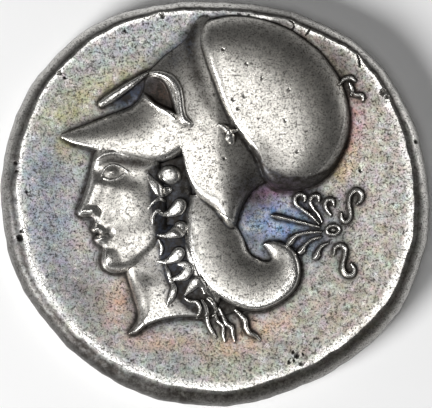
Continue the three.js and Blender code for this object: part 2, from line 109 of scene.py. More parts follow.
def smooth_line(rows, closed=False, per=8):
    """A curve through rows of numbers, the first two of which are x and y. Between two rows it is a cubic
    whose slope at each row is the mean of the chords' slopes on either side, weighted towards the shorter
    chord."""
    p = np.array(rows, float)
    p = np.vstack([p[-1:], p, p[:2]]) if closed else np.vstack([2 * p[0] - p[1], p, 2 * p[-1] - p[-2]])
    chord = np.maximum(np.hypot(*np.diff(p[:, :2], axis=0).T), 1e-6)[:, None]
    slope = np.diff(p, axis=0) / chord
    slope = (slope[:-1] * chord[1:] + slope[1:] * chord[:-1]) / (chord[1:] + chord[:-1])
    t = np.linspace(0, 1, per, endpoint=False)[:, None, None]
    a, b, length = p[1:-2], p[2:-1], chord[1:-1]
    line = (
        (2 * t**3 - 3 * t**2 + 1) * a
        + (t**3 - 2 * t**2 + t) * length * slope[:-1]
        + (3 * t**2 - 2 * t**3) * b
        + (t**3 - t**2) * length * slope[1:]
    )
    line = line.transpose(1, 0, 2).reshape(-1, p.shape[1])
    return line if closed else np.vstack([line, p[-2]])


def nearest(line, x, y):
    """How far each point is from a line of straight steps, and the line's other columns nearest to it."""
    far = np.full(x.shape, 1e9)
    index = np.zeros(x.shape)
    for i, (a, b) in enumerate(zip(line[:-1, :2], line[1:, :2])):
        step = b - a
        share = np.clip(((x - a[0]) * step[0] + (y - a[1]) * step[1]) / max(step @ step, 1e-9), 0, 1)
        away = np.hypot(x - a[0] - share * step[0], y - a[1] - share * step[1])
        closer = away < far
        far[closer] = away[closer]
        index[closer] = i + share[closer]
    places = np.arange(len(line))
    return far, [np.interp(index, places, column) for column in line[:, 2:].T]


def inside(line, x, y):
    """Whether each point is inside a closed line, by how often a level ray to its right crosses the line."""
    crossings = np.zeros(x.shape, int)
    for a, b in zip(line[:, :2], np.roll(line[:, :2], -1, axis=0)):
        if a[1] != b[1]:
            spans = (y >= min(a[1], b[1])) & (y < max(a[1], b[1]))
            crossings += spans & (a[0] + (y - a[1]) * (b[0] - a[0]) / (b[1] - a[1]) > x)
    return crossings % 2 == 1


# The squared paper that a die's relief is worked out on

class Paper:
    """A height, in millimetres over the field, at every crossing of squared paper that is finer than the
    drawing's."""

    def __init__(self, half_width, half_height, spacing):
        self.spacing = spacing
        self.columns = np.arange(-half_width, half_width + spacing / 2, spacing)
        self.rows = np.arange(-half_height, half_height + spacing / 2, spacing)
        self.x, self.y = np.meshgrid(self.columns, self.rows)
        self.z = np.zeros_like(self.x)
        # Where the toning and painted shade are darker, and the metal is brighter by wear and painted
        # highlights, than the height alone makes them
        self.deep, self.rubbed = np.zeros_like(self.x), np.zeros_like(self.x)

    def tracing(self):
        """Blank paper laid over this one, with the same toning, painted shade and painted highlights."""
        blank = copy.copy(self)
        blank.z = np.zeros_like(self.x)
        return blank

    def around(self, points, margin):
        """The part of the paper round some points."""
        low, high = np.min(points[:, :2], axis=0) - margin, np.max(points[:, :2], axis=0) + margin
        across = np.searchsorted(self.columns, [low[0], high[0]])
        up = np.searchsorted(self.rows, [low[1], high[1]])
        return slice(*up), slice(*across)

    def beside(self, at, reach):
        """The part of the paper within some squares of a place."""
        return self.around(np.array([at]), reach + 1)

    def tone_and_shade(self, where, share):
        """Makes the toning and painted shade at least this dark."""
        self.deep[where] = np.maximum(self.deep[where], share)

    def rub_and_highlight(self, where, share):
        """Makes the metal at least this bright, by wear and painted highlight."""
        self.rubbed[where] = np.maximum(self.rubbed[where], share)

    def join(self, where, height, blend=0.0):
        """Keeps the higher of what is there and a new form, with a fillet where they are nearly level."""
        old = self.z[where]
        top = np.maximum(old, height)
        if blend:
            near = np.clip(blend - np.abs(old - height), 0, None)
            near[height < OFF_FORM / 2] = 0
            top = top + near**2 / (4 * blend)
        self.z[where] = top


OFF_FORM = -1.0  # the height of a form where it isn't


def section(v, crest_at, near_power, far_power):
    """How high a form stands at a share v across it, 1 at its crest and 0 at its edges: the square root
    of one less the share from the crest to the edge raised to a power, which is large for a steep edge."""
    away = np.where(v < crest_at, 1 - v / crest_at, (v - crest_at) / (1 - crest_at))
    power = np.where(v < crest_at, near_power, far_power)
    return np.sqrt(np.clip(1 - np.clip(away, 0, 1) ** power, 0, None))


def across_form(paper, stations):
    """The share across a form drawn as stations, at every point of the paper that is on it. A station is
    a line from the form's near edge to its far edge, as x, y, x, y, and any more columns, which are read
    along it."""
    line = smooth_line(stations, per=10)
    where = paper.around(np.vstack([line[:, :2], line[:, 2:4]]), 2)
    x, y = paper.x[where], paper.y[where]
    v = np.full(x.shape, np.nan)
    more = [np.zeros(x.shape) for _ in range(line.shape[1] - 4)]
    for near, far in zip(line[:-1], line[1:]):
        turns = [(s[2] - s[0]) * (y - s[1]) - (s[3] - s[1]) * (x - s[0]) for s in (near, far)]
        between = (turns[0] * turns[1] <= 0) & (turns[0] != turns[1])
        corners = np.array([near[:2], near[2:4], far[:2], far[2:4]])
        low, high = corners.min(axis=0) - 0.5, corners.max(axis=0) + 0.5
        between &= (x >= low[0]) & (x <= high[0]) & (y >= low[1]) & (y <= high[1])
        share = turns[0][between] / (turns[0][between] - turns[1][between])
        at = near[:, None] * (1 - share) + far[:, None] * share
        side = at[2:4] - at[:2]
        off = np.array([x[between], y[between]]) - at[:2]
        v[between] = (off * side).sum(axis=0) / np.maximum((side * side).sum(axis=0), 1e-6)
        for column, values in zip(more, at[4:]):
            column[between] = values
    on = (v >= 0) & (v <= 1)
    return where, np.where(on, v, 0.0), on, more


def add_form(paper, stations, near_power, far_power, blend=0.0):
    """A form over the field, from stations that end in the crest's height and its share across."""
    where, v, on, (crest, crest_at) = across_form(paper, stations)
    height = crest * section(v, np.clip(crest_at, 0.02, 0.98), near_power, far_power)
    paper.join(where, np.where(on, height, OFF_FORM), blend)


def add_dome(paper, outline, crest, height, powers):
    """A dome inside a closed outline: height times the square root of one less the share from crest to
    outline raised to a power. The powers are given towards a few angles, in degrees, and are smoothed in
    between."""
    edge = smooth_line(outline, closed=True)
    where = paper.around(edge, 1)
    x, y = paper.x[where] - crest[0], paper.y[where] - crest[1]
    edge_angle = np.arctan2(edge[:, 1] - crest[1], edge[:, 0] - crest[0])
    order = np.argsort(edge_angle)
    reach = np.hypot(edge[:, 0] - crest[0], edge[:, 1] - crest[1])[order]
    angle = np.arctan2(y, x)
    share = np.hypot(x, y) / np.interp(angle, edge_angle[order], reach, period=2 * np.pi)
    toward, power = np.array(sorted(powers)).T
    turn = np.arange(360)
    power = np.mean([np.interp(turn + off, toward, power, period=360) for off in range(-30, 31, 6)], axis=0)
    power = np.interp(np.degrees(angle), turn, power, period=360)
    top = height * np.sqrt(np.clip(1 - np.clip(share, 0, 1) ** power, 0, None))
    paper.join(where, np.where(share < 1, top, OFF_FORM))
    return where, share, angle


def plate(paper, outline):
    """How far each point is inside a closed outline, and the outline's other columns nearest to it."""
    edge = smooth_line(outline, closed=True)
    where = paper.around(edge, 1)
    x, y = paper.x[where], paper.y[where]
    far, more = nearest(np.vstack([edge, edge[:1]]), x, y)
    return where, np.where(inside(edge, x, y), far, -far), more


def rounded(depth, width):
    """A plate's edge: rises from 0 at the outline to 1 at a depth of one width, as a quarter of a circle."""
    return np.sqrt(np.clip(1 - np.clip(1 - depth / width, 0, 1) ** 2, 0, None))


def knob(x, y, at, long, short, turn=0.0, power=2.0):
    """A rounded knob, 1 at its middle and 0 from its oval edge on: one less the share from middle to edge
    raised to a power, squared."""
    along, across = turned(x, y, at, turn)
    return np.clip(1 - np.hypot(along / long, across / short) ** power, 0, None) ** 2


def stroke(paper, rows):
    """How far each point is off a stroke, as a share of the stroke's half width there, and the stroke's
    depth or height there. Rows are x, y, half width and depth."""
    line = smooth_line(rows)
    where = paper.around(line, np.max(line[:, 2]) + 1)
    far, (half, depth) = nearest(line, paper.x[where], paper.y[where])
    return where, far / np.maximum(half, 0.2), depth


def raise_stroke(paper, rows, power=2, scale=1.0):
    """A ridge on top of what is there, rubbed bright along its top: height times the square root of one
    less the share off raised to a power. With 2 it is round, and with a higher power its top is flatter."""
    where, off, height = stroke(paper, rows)
    top = np.sqrt(np.clip(1 - off**power, 0, None))
    paper.z[where] += scale * height * top
    paper.rub_and_highlight(where, np.clip(14 * height, 0, 0.95) * top**2)


def rub_and_highlight_stroke(paper, rows):
    """Metal rubbed bright along a stroke where it stands proud, as wear with a painted highlight; the rows
    end in how bright it is.
    """
    where, off, bright = stroke(paper, rows)
    proud = np.clip((paper.z[where] - 0.25) / 0.1, 0, 1)
    paper.rub_and_highlight(where, bright * np.clip(1.3 - 1.3 * off**3, 0, 1) * proud)


def cut_stroke(paper, rows):
    """A groove with soft lips: depth times the square of one less the share off, squared."""
    where, off, depth = stroke(paper, rows)
    paper.z[where] -= depth * np.clip(1 - off**2, 0, None) ** 2


def blurred(values, radius):
    """Values blurred by a bell of a given radius in paper steps, by way of their frequencies."""
    pad = int(3 * radius) + 1
    wide = np.pad(values, pad, mode="edge")
    up = np.fft.fftfreq(wide.shape[0])[:, None]
    across = np.fft.rfftfreq(wide.shape[1])[None, :]
    bell = np.exp(-2 * (np.pi * radius) ** 2 * (up**2 + across**2))
    return np.fft.irfft2(np.fft.rfft2(wide) * bell, wide.shape)[pad:-pad, pad:-pad]


# The head side's drawing, in squares of a twentieth of a millimetre from the middle of the coin, with heights
# in millimetres over the field

# Across the helmet from its upper or front edge to its lower or back edge: both ends, and the crest's height
# and share across
SHELL = [
    (-154, 70, -154, 66, 0.16, 0.6), (-142, 75, -143, 60.5, 0.38, 0.68), (-130, 79.5, -131, 57, 0.52, 0.72),
    (-104, 90, -107, 50.5, 0.66, 0.74), (-81, 100, -82, 46, 0.74, 0.74), (-74, 108, -66, 42, 0.77, 0.73),
    (-69, 129, -44, 44, 0.8, 0.71), (-60, 139, -30, 50, 0.82, 0.69), (-52, 147, -29, 34, 0.84, 0.7),
    (-42, 155, -20, 10, 0.87, 0.69), (-30, 165, 0, -7, 0.9, 0.67), (-22, 180, 20, -23, 0.9, 0.63),
    (-18, 186, 27, -4, 0.84, 0.56), (-14, 190, 38, 13, 0.7, 0.5), (-8, 192, 52, 22, 0.5, 0.46),
]
BOWL = [
    (-10, 182), (5, 187), (30, 188), (55, 183), (75, 175), (90, 165), (105, 153), (117, 138), (126, 124),
    (132, 107), (135, 86), (133, 64), (126, 46), (115, 30), (100, 19), (80, 14), (60, 15), (49, 26),
    (43, 42), (32, 60), (19, 77), (6, 100), (-4, 124), (-13, 149), (-16, 169),
]
BOWL_CREST = (50, 88)
# Towards an angle, how steep the bowl's edge is
BOWL_STEEPNESS = [(0, 3.4), (45, 2.8), (90, 3), (135, 6), (180, 22), (225, 20), (270, 12), (315, 4.4)]
BOWL_SHADED_SIDE = -82  # the direction, in degrees, in which its edge is painted with dark shade
BOWL_BROWN_SHADE_SIDE = 32  # and in which it is painted with brown shade
# A faint line under its right side, as x, y, half width and height
BOWL_LINE = [
    (86, 24, 1, 0.01), (105, 35, 1.6, 0.02), (120, 55, 1.7, 0.024), (128, 78, 1.6, 0.02),
    (131, 98, 1, 0.01),
]

EYE_OPENING = [
    (-73, 126), (-65, 129), (-57, 128), (-50, 124), (-45, 116), (-42, 107), (-39, 97), (-38, 89), (-45, 92),
    (-52, 95), (-60, 99), (-67, 105), (-73, 110),
]
EYE_OPENING_FLOOR = 0.28
EYE_OPENING_WALL = 4  # how many squares its wall takes to fall
# Ridges as x, y, half width and height over what they lie on
BROW_RIDGE = [
    (-67, 132, 1.5, 0.1), (-55, 130.5, 3, 0.14), (-45, 126, 4, 0.16), (-38, 116, 4.5, 0.17),
    (-35, 104, 4, 0.16), (-34, 94, 4, 0.15), (-31, 84, 4.5, 0.15), (-25, 80, 3, 0.12),
]
EYE_OPENING_LIP = [
    (-72, 107, 1.4, 0.05), (-66, 103, 1.6, 0.07), (-58, 97, 1.6, 0.07), (-49, 92, 1.4, 0.05),
    (-40, 85, 1, 0.03),
]
NOSE_STRIP = [
    (-113, 100.5, 4, 0.4), (-105, 105.5, 5.2, 0.5), (-95, 112, 5, 0.5), (-85, 119, 4.4, 0.48),
    (-77, 124.5, 3.4, 0.44), (-69, 130, 2, 0.4),
]
# The shell's painted shade beside the bowl, with its toning, as x, y, half width and how dark
SHELL_PAINTED_SHADE = [
    (-20, 176, 9, 0.9), (-25, 164, 13, 0.95), (-23, 146, 13, 0.9), (-15, 122, 12, 0.8), (-5, 99, 9, 0.6),
    (7, 80, 6, 0.4),
]
NAPE_LIP = [(2, -8, 1, 0.02), (9, -12, 1.6, 0.06), (15, -17, 1.7, 0.08), (20, -23, 1.2, 0.06)]
CREST_HOLDER = [
    [(4, 79, 1.4, 0.1), (9, 77, 2.6, 0.15), (14, 73, 3.2, 0.16), (19, 73, 2.2, 0.14), (24, 74, 1.4, 0.1)],
    [(14, 73, 2.4, 0.12), (15.5, 66.5, 5.2, 0.18), (17, 62, 3, 0.12)],
]

# From the face's side of the neck guard round its scroll: the foot outside, the edge inside, and the crest's
# height and share across
NECK_GUARD = [
    (-25, 9, 20, 12, 0.5, 0.16), (-29, -18, 20, -6, 0.56, 0.14), (-28, -40, 22, -22, 0.6, 0.11),
    (-23, -58, 28, -33, 0.63, 0.1), (-15, -74, 31, -42, 0.65, 0.1), (-4, -87, 34, -48, 0.66, 0.1),
    (9, -96.5, 38, -52, 0.66, 0.1), (24, -103.5, 42, -54, 0.66, 0.1), (42, -107, 46, -56, 0.64, 0.1),
    (57, -103, 50, -57, 0.62, 0.11), (71, -95, 53, -57, 0.6, 0.13), (81, -85, 55, -56, 0.56, 0.16),
    (86, -71, 56, -54, 0.52, 0.2), (85, -58, 55, -52, 0.46, 0.26), (79, -46, 54, -49, 0.4, 0.33),
    (68, -39, 52, -46, 0.34, 0.4), (57, -37, 50, -43, 0.28, 0.45), (49, -39, 48, -41, 0.2, 0.5),
]
# Where the guard's outer edge is rubbed bright, worn and with a painted highlight, as x, y, half width and
# how bright
GUARD_EDGE_HIGHLIGHT = [
    (-24, 2, 1.4, 0.5), (-26, -10, 2.2, 0.9), (-26.5, -30, 3.6, 1), (-24, -48, 4.6, 1), (-17, -67, 5.4, 1),
    (-7.5, -81, 6, 1), (3, -91, 6.6, 1), (14, -98, 7, 1), (28, -103, 7.4, 1), (43, -105, 7.4, 1),
    (58, -101, 7.2, 1), (70, -91, 7, 1), (79, -76, 6.4, 1), (80, -60, 5.2, 1), (73, -46, 3.6, 1),
    (62, -39, 2.2, 0.9), (52, -39, 1.4, 0.5),
]

NECK = [
    (-94, -58), (-89, -70), (-85, -82), (-81, -96), (-78, -106), (-78, -114), (-82, -122), (-87, -130),
    (-80, -130), (-68, -122), (-52, -116), (-36, -113.5), (-20, -113), (-6, -112), (6, -96), (-6, -74),
    (-20, -40), (-40, -20), (-70, -30),
]
# How wide the rounding is inside the outline above, beside each of its points
NECK_ROUNDING = [16, 18, 18, 16, 14, 12, 6, 3, 2.5, 2.5, 2.5, 2.5, 2.5, 3, 10, 10, 10, 10, 10]
NECK_HEIGHT = 0.58
FILLET = 0.02  # where the neck and the horse's forms meet what they lie on

HAIR_BED = [
    (-72, 34, -28, 50, 0.34, 0.5), (-70, 12, -24, 18, 0.28, 0.5), (-66, -20, -22, -4, 0.28, 0.5),
    (-60, -50, -18, -40, 0.3, 0.5), (-52, -80, -8, -74, 0.3, 0.5), (-34, -104, 10, -94, 0.24, 0.5),
    (-16, -116, 34, -106, 0.14, 0.5),
]
# The plump curl at the temple: its middle, half length, half width, turn and height
TEMPLE_CURL = ((-45, 29), 12, 10, -12, 0.26)
# Locks that end in a curl, from tail to curl
LOCKS = [
    [(-67, 29, 1.4, 0.14), (-60, 19, 4, 0.28), (-52, 12, 5, 0.3), (-46, 14, 3, 0.2)],
    [(-66, -4, 1, 0.14), (-62, 1, 1.6, 0.22), (-56, 5, 1.7, 0.24), (-50, 3, 1.2, 0.14)],
    [(-62, -19, 1.2, 0.16), (-61, -11, 1.7, 0.22), (-57, -6.5, 1.9, 0.22), (-53, -9, 1.4, 0.14)],
    [(-57, -8, 1.2, 0.16), (-50, -10.5, 2.4, 0.24), (-43, -8, 4.8, 0.34), (-37, -4, 6.6, 0.36),
     (-35, -1, 6.2, 0.36)],
    [(-56, -31, 1.2, 0.16), (-49, -31.5, 2.4, 0.24), (-42, -29.5, 4.8, 0.34), (-36, -26, 6.6, 0.36),
     (-34.5, -23.5, 6, 0.36)],
    [(-56, -36, 1, 0.14), (-53, -44, 1.5, 0.2), (-54, -50, 1.2, 0.14)],
    [(-57, -57, 1, 0.12), (-50, -57.5, 2.2, 0.24), (-43, -55, 4.4, 0.32), (-37.5, -51, 6, 0.34),
     (-36, -49, 5.6, 0.34)],
    [(-44, -75, 1.2, 0.16), (-37, -74, 3, 0.26), (-30, -71, 4.8, 0.32), (-27, -65, 5.2, 0.32),
     (-31, -60, 3, 0.26), (-36, -60, 1.6, 0.18)],
    [(-29, -90, 1.4, 0.18), (-23.5, -83, 4, 0.3), (-18, -78, 5.4, 0.38), (-12.5, -81, 3.4, 0.28),
     (-10, -89, 1.4, 0.16)],
    [(-43, -77, 1.2, 0.14), (-41, -84, 2.8, 0.28), (-42.5, -91, 3.2, 0.3), (-47.5, -101, 1, 0.12)],
    [(-49, -62, 1, 0.1), (-46, -70, 1.8, 0.18), (-44, -78, 1.2, 0.12)],
]
STRANDS = [
    [(-30, -94, 1.2, 0.12), (-25, -97, 2, 0.2), (-18, -98, 2.2, 0.22), (-15, -104, 2.2, 0.22),
     (-18, -114, 1.3, 0.16)],
    [(-13, -96, 1.4, 0.14), (-9, -103, 2.2, 0.22), (-8, -112, 2.2, 0.26), (-7, -119, 2, 0.24),
     (-3, -127, 1.9, 0.2), (1, -133, 1.1, 0.12)],
    [(-7, -94, 2, 0.16), (-1, -100, 2.6, 0.24), (1, -107, 2, 0.2), (-2, -112, 1.2, 0.1)],
    [(0, -110, 1.2, 0.12), (3, -117, 1.8, 0.2), (8, -122, 1.8, 0.2), (8, -129, 1.8, 0.2),
     (10, -137, 1, 0.1)],
    [(4, -104, 1.4, 0.14), (8, -112, 2, 0.22), (11, -119, 2.4, 0.26), (17, -124, 2.4, 0.26),
     (18, -130, 2, 0.22), (20, -137, 1.1, 0.12)],
    [(20, -106, 1.4, 0.14), (25, -110, 2.2, 0.24), (30, -116, 3, 0.3), (31, -123, 2.8, 0.28),
     (35, -129, 2.4, 0.26), (40, -131, 2.2, 0.22), (45, -136, 1.1, 0.12)],
]

PALMETTE_HEIGHT = 0.26
PETALS = [
    [(104, -23, 1.3), (80, -17, 1.7), (62, -12.5, 2.4), (57, -11.5, 1.6)],
    [(104, -20, 1), (96, -12, 1.4), (87, -5, 1.8), (81, 0, 2), (80, 6, 2.2), (85, 10, 2.4), (90, 7, 2.2),
     (89, 3, 1.4)],
    [(107, -18, 1), (103, -10, 1.5), (98, -4, 1.8), (95, 3, 2), (98, 8, 2.4), (103, 8, 2.4), (104, 3, 1.5)],
    [(116, -11, 1.4), (112, -6, 1.8), (110, -1, 2), (112, 4, 2.3), (117, 4, 2.4), (119, -1, 1.5)],
    [(106, -28, 1.2), (91, -29, 1.7), (81, -32, 2.2), (75, -38, 3.8), (73, -40, 3)],
    [(106, -33, 1.2), (96, -36, 1.7), (89, -43, 2.6), (87, -46, 3.9), (85, -48, 3.2)],
    [(113, -39, 1.2), (107, -42, 1.8), (103, -48, 2.8), (102, -51, 3.9), (101, -53, 3.2)],
]
SCROLLS = [
    [(126, -9, 1.4), (127, -15, 2), (131, -18, 2.3), (135, -14, 2.3), (135, -6, 2), (134, 2, 2),
     (136, 10, 2.2), (141, 14, 2.6), (146, 11, 2.7), (146, 4, 2.4), (142, 0, 1.4)],
    [(119, -50, 1.4), (120, -44, 1.9), (125, -41, 2.4), (130, -44, 2.4), (130, -51, 2.2), (128, -59, 2.2),
     (128, -66, 2.5), (132, -71, 2.8), (138, -70, 2.8), (139, -65, 2.2), (136, -60, 1.4)],
]
HEART = (118, -26)
HEART_RING = (6.5, 4.6)
MARK = [
    [(125, 120, 1.6), (129, 124.5, 2.3), (136, 126, 2.6), (140, 123, 1.5)],
    [(134, 121, 1.4), (136, 117, 2.3), (137, 112, 2.2), (136, 109, 1.3)],
    [(137, 111, 1.4), (141, 109, 2.3), (147, 108.5, 2.3), (148, 104, 1.4)],
]

# Small damage: cracks in the rim and pits, as x, y, half width and depth
CRACKS = [
    [(75, 183, 0.6, 0.05), (78, 181, 0.9, 0.12), (79, 177, 0.7, 0.1), (77, 174, 0.5, 0.04)],
    [(96, 177, 0.6, 0.06), (94, 173, 0.9, 0.14), (91, 169, 0.6, 0.05)],
    [(142, 149, 0.9, 0.12), (144, 144, 1.5, 0.18), (145, 137, 0.8, 0.08)],
    [(-55, 190, 0.7, 0.06), (-52, 186, 1, 0.12), (-50, 189, 0.6, 0.05)],
]
PITS = [
    (-155, 131, 2.6, 0.14), (-150, 126, 1.8, 0.1), (-90, 173, 1.8, 0.1), (82, -152, 3, 0.14),
    (74, -158, 2.2, 0.1), (78, -148, 2, 0.1), (88, -150, 1.6, 0.1), (79, -156, 1.8, 0.1),
    (86, -160, 2.2, 0.1), (-188, 12, 1.8, 0.1), (-49, 47, 1.8, 0.08), (9, 45, 2, 0.08), (31, 140, 2, 0.04),
    (18, 104, 2.6, 0.04), (23, 95, 2.2, 0.04), (29, 107, 2.2, 0.03), (82, 52, 2.2, 0.04), (70, 83, 2, 0.04),
    (74, 114, 1.8, 0.05), (47, 126, 1.6, 0.04), (145, 33, 1.6, 0.07), (168, 112, 4.2, 0.22),
    (172, 107, 2.6, 0.16), (8, 154, 2, 0.07), (-195, -34, 4, 0.24), (-193, -27, 2.4, 0.12),
    (201, 62, 3.4, 0.22), (-199, 41, 2.6, 0.14), (-198, 33, 1.8, 0.1), (-52, 189, 2.4, 0.12),
]


# The rest of the head side is modelled on the forms above

# The face, on a canon of thirds: its points are thirds forward of the bridge of the nose and thirds below
# the brow
FACE_THIRD = 60
FACE_TILT = 7
BRIDGE = (-122, 50)
PROFILE = [
    (-0.1, -0.16), (-0.03, -0.03), (0.03, 0.12), (0.1, 0.32), (0.2, 0.56), (0.31, 0.78), (0.375, 0.9),
    (0.37, 0.98), (0.29, 1.03), (0.15, 1.055), (0.12, 1.1), (0.155, 1.18), (0.185, 1.25), (0.15, 1.305),
    (0.075, 1.33), (0.13, 1.37), (0.155, 1.42), (0.12, 1.485), (0.04, 1.56), (0.05, 1.66), (0.085, 1.78),
    (0.06, 1.91), (-0.05, 2), (-0.24, 2.03), (-0.46, 2), (-0.7, 1.9), (-0.92, 1.72), (-1.06, 1.46),
    (-1.12, 1.1), (-1.12, 0.6), (-1.1, 0.1), (-1.05, -0.16), (-0.6, -0.2), (-0.3, -0.18),
]
PROFILE_ROUNDING = [8] * 6 + [6] * 4 + [5] * 10 + [7] * 2 + [9, 11, 13, 14, 14, 12, 10] + [8] * 5
FACE_HEIGHT = 0.64


def on_face(forward, down):
    """A point of the face in squares: the bridge, moved along the tilted level and down the tilted
    upright."""
    c, s = np.cos(np.radians(FACE_TILT)), np.sin(np.radians(FACE_TILT))
    forward, down = np.asarray(forward) * FACE_THIRD, np.asarray(down) * FACE_THIRD
    return BRIDGE[0] + down * s - forward * c, BRIDGE[1] - down * c - forward * s


def face_stroke(rows):
    """A stroke on the face: thirds forward and down, half width in squares, height."""
    return [(*on_face(forward, down), half, height) for forward, down, half, height in rows]


# Soft swellings and hollows of the face: thirds forward and down, half length and half width in thirds, turn
# and height
SWELLINGS = [
    (-0.52, 0.98, 0.62, 0.60, 0, 0.16),   # the cheek
    (-0.44, 0.66, 0.34, 0.20, 8, 0.05),   # the cheekbone
    (0.02, 0.62, 0.20, 0.62, -18, 0.07),  # the side of the nose
    (0.13, 0.945, 0.15, 0.125, 0, 0.12),  # the wing of the nose
    (0.30, 0.93, 0.11, 0.11, 0, 0.07),    # the tip of the nose
    (-0.10, 0.06, 0.40, 0.20, 0, 0.04),   # over the brow
    (-0.04, 1.78, 0.26, 0.24, 0, 0.10),   # the chin
    (-0.62, 1.62, 0.50, 0.26, 24, 0.05),  # the jaw
    (0.06, 1.26, 0.19, 0.095, -16, 0.10), # the upper lip
    (0.04, 1.415, 0.16, 0.10, 8, 0.11),   # the lower lip
    (-0.28, 0.345, 0.155, 0.115, 0, 0.12),  # the eyeball
]
HOLLOWS = [
    (-0.22, 0.33, 0.44, 0.25, 4, 0.14),   # the eye's socket
    (-0.02, 0.30, 0.16, 0.20, 0, 0.08),   # beside the bridge
    (-0.13, 1.34, 0.10, 0.12, 0, 0.07),   # the corner of the mouth
    (-0.02, 1.57, 0.20, 0.10, 0, 0.06),   # under the lower lip
    (-0.14, 1.06, 0.13, 0.20, -25, 0.05), # behind the wing of the nose
    (-0.30, 1.42, 0.22, 0.22, 0, 0.03),   # the hollow of the cheek
]
LIDS = [
    [(0, 0.13, 1.4, 0.03), (-0.14, 0.045, 2.2, 0.06), (-0.34, 0.02, 2.4, 0.06), (-0.6, 0.12, 1.4, 0.02)],
    [(-0.1, 0.37, 0.9, 0.03), (-0.17, 0.27, 1.4, 0.08), (-0.29, 0.225, 1.5, 0.09),
     (-0.43, 0.275, 1.4, 0.07), (-0.55, 0.37, 0.9, 0.03)],
    [(-0.13, 0.42, 0.8, 0.03), (-0.24, 0.47, 1.2, 0.06), (-0.37, 0.45, 1.2, 0.05), (-0.5, 0.385, 0.8, 0.02)],
]
FACE_GROOVES = [
    [(0.10, 1.335, 1.0, 0.05), (0.00, 1.345, 1.2, 0.08), (-0.10, 1.35, 0.9, 0.04)],  # between the lips
    [(0.27, 0.995, 0.9, 0.03), (0.20, 1.01, 1.6, 0.09), (0.13, 1.00, 0.9, 0.03)],    # the nostril
    [(0.03, 0.86, 0.9, 0.02), (-0.015, 0.95, 1.1, 0.06), (0.02, 1.05, 0.9, 0.02)],   # round the nose's wing
    [(-0.12, 0.20, 0.9, 0.02), (-0.28, 0.145, 1.3, 0.06), (-0.46, 0.19, 0.9, 0.02)], # over the upper lid
]


def add_neck(paper):
    """The neck: a plate with an edge of varying roundness, with knobs for its muscle and the hollow of its
    throat, and eased up to its foot."""
    where, depth, (width,) = plate(paper, [(x, y, w) for (x, y), w in zip(NECK, NECK_ROUNDING)])
    x, y = paper.x[where], paper.y[where]
    muscle, throat = knob(x, y, (-48, -84), 34, 46), knob(x, y, (-70, -66), 26, 16, -25)
    top = NECK_HEIGHT + 0.08 * muscle - 0.10 * throat + 0.06 * eased((-y - 88) / 28)
    paper.join(where, np.where(depth > 0, top * rounded(depth, width), OFF_FORM), FILLET)


def add_face(paper):
    """The face: a plate along the profile, with swellings and hollows added as knobs, and the lids and the
    grooves as strokes."""
    outline = [(*on_face(*point), width) for point, width in zip(PROFILE, PROFILE_ROUNDING)]
    where, depth, (width,) = plate(paper, outline)
    x, y = paper.x[where], paper.y[where]
    top = np.full(x.shape, FACE_HEIGHT)
    for sign, knobs in ((1, SWELLINGS), (-1, HOLLOWS)):
        for forward, down, long, short, turn, height in knobs:
            at = on_face(forward, down)
            top += sign * height * knob(x, y, at, long * FACE_THIRD, short * FACE_THIRD, turn - FACE_TILT)
    paper.join(where, np.where(depth > 0, top * rounded(depth, width), OFF_FORM))
    for rows in LIDS:
        raise_stroke(paper, face_stroke(rows))
    for rows in FACE_GROOVES:
        cut_stroke(paper, face_stroke(rows))


def add_helmet(paper):
    """The helmet pushed back on the head: a shell of stations, its opening cut out and its strokes raised
    on it, with the flat-topped nose strip and the painted shade, with toning, beside the bowl."""
    shell = paper.tracing()
    add_form(shell, SHELL, near_power=1.9, far_power=9)
    where, depth, _ = plate(shell, EYE_OPENING)
    cut = shell.z[where] - np.minimum(shell.z[where], EYE_OPENING_FLOOR)
    shell.z[where] -= cut * eased(depth / EYE_OPENING_WALL)
    paper.tone_and_shade(where, np.clip(depth / 2, 0, 1))
    for rows in (BROW_RIDGE, EYE_OPENING_LIP, NAPE_LIP, *CREST_HOLDER):
        raise_stroke(shell, rows)
    paper.join(np.s_[:, :], np.where(shell.z > 0, shell.z, OFF_FORM))
    where, off, height = stroke(paper, NOSE_STRIP)
    paper.join(where, np.where(off < 1, height * np.sqrt(np.clip(1 - off**4, 0, None)), OFF_FORM))
    rub_and_highlight_stroke(paper, [(x, y, 0.8 * half, 1) for x, y, half, _ in NOSE_STRIP])
    rub_and_highlight_stroke(paper, [(x, y, 0.9 * half, 0.9) for x, y, half, _ in BROW_RIDGE])
    # painted shade on the shell beside the bowl, with its toning
    where, off, dark = stroke(paper, SHELL_PAINTED_SHADE)
    paper.tone_and_shade(where, dark * np.clip(1 - off**2, 0, 1))


def add_hair(paper):
    """The hair: a low bed, toned dark between its edges, with a curl, locks and strands raised on it."""
    add_form(paper, HAIR_BED, near_power=3, far_power=3, blend=0.03)
    where, v, _, _ = across_form(paper, HAIR_BED)
    paper.tone_and_shade(where, 0.97 * np.clip(v * (1 - v) * 9, 0, 1))
    at, long, short, turn, height = TEMPLE_CURL
    where = paper.beside(at, long)
    curl = np.sqrt(knob(paper.x[where], paper.y[where], at, long, short, turn, power=6))
    paper.z[where] += height * curl
    paper.rub_and_highlight(where, 0.8 * curl)
    for rows in LOCKS:
        plump = [(x, y, 1.15 * half, height) for x, y, half, height in rows]
        raise_stroke(paper, plump, power=6, scale=0.6)
    for rows in STRANDS:
        raise_stroke(paper, rows, power=3)


def add_ornaments(paper):
    """The palmette and the mark beside the bowl: round-topped petals and scrolls round a ringed heart,
    and a few strokes."""
    for rows in PETALS + SCROLLS + MARK:
        raise_stroke(paper, [(*row, PALMETTE_HEIGHT) for row in rows])
    (x, y), (across, up) = HEART, HEART_RING
    angles = np.linspace(0, 2 * np.pi, 13)
    raise_stroke(paper, [(x + across * np.cos(a), y + up * np.sin(a), 1.7, 0.2) for a in angles])
    where = paper.beside(HEART, across)
    paper.z[where] += 0.24 * knob(paper.x[where], paper.y[where], HEART, 3.6, 2.8)


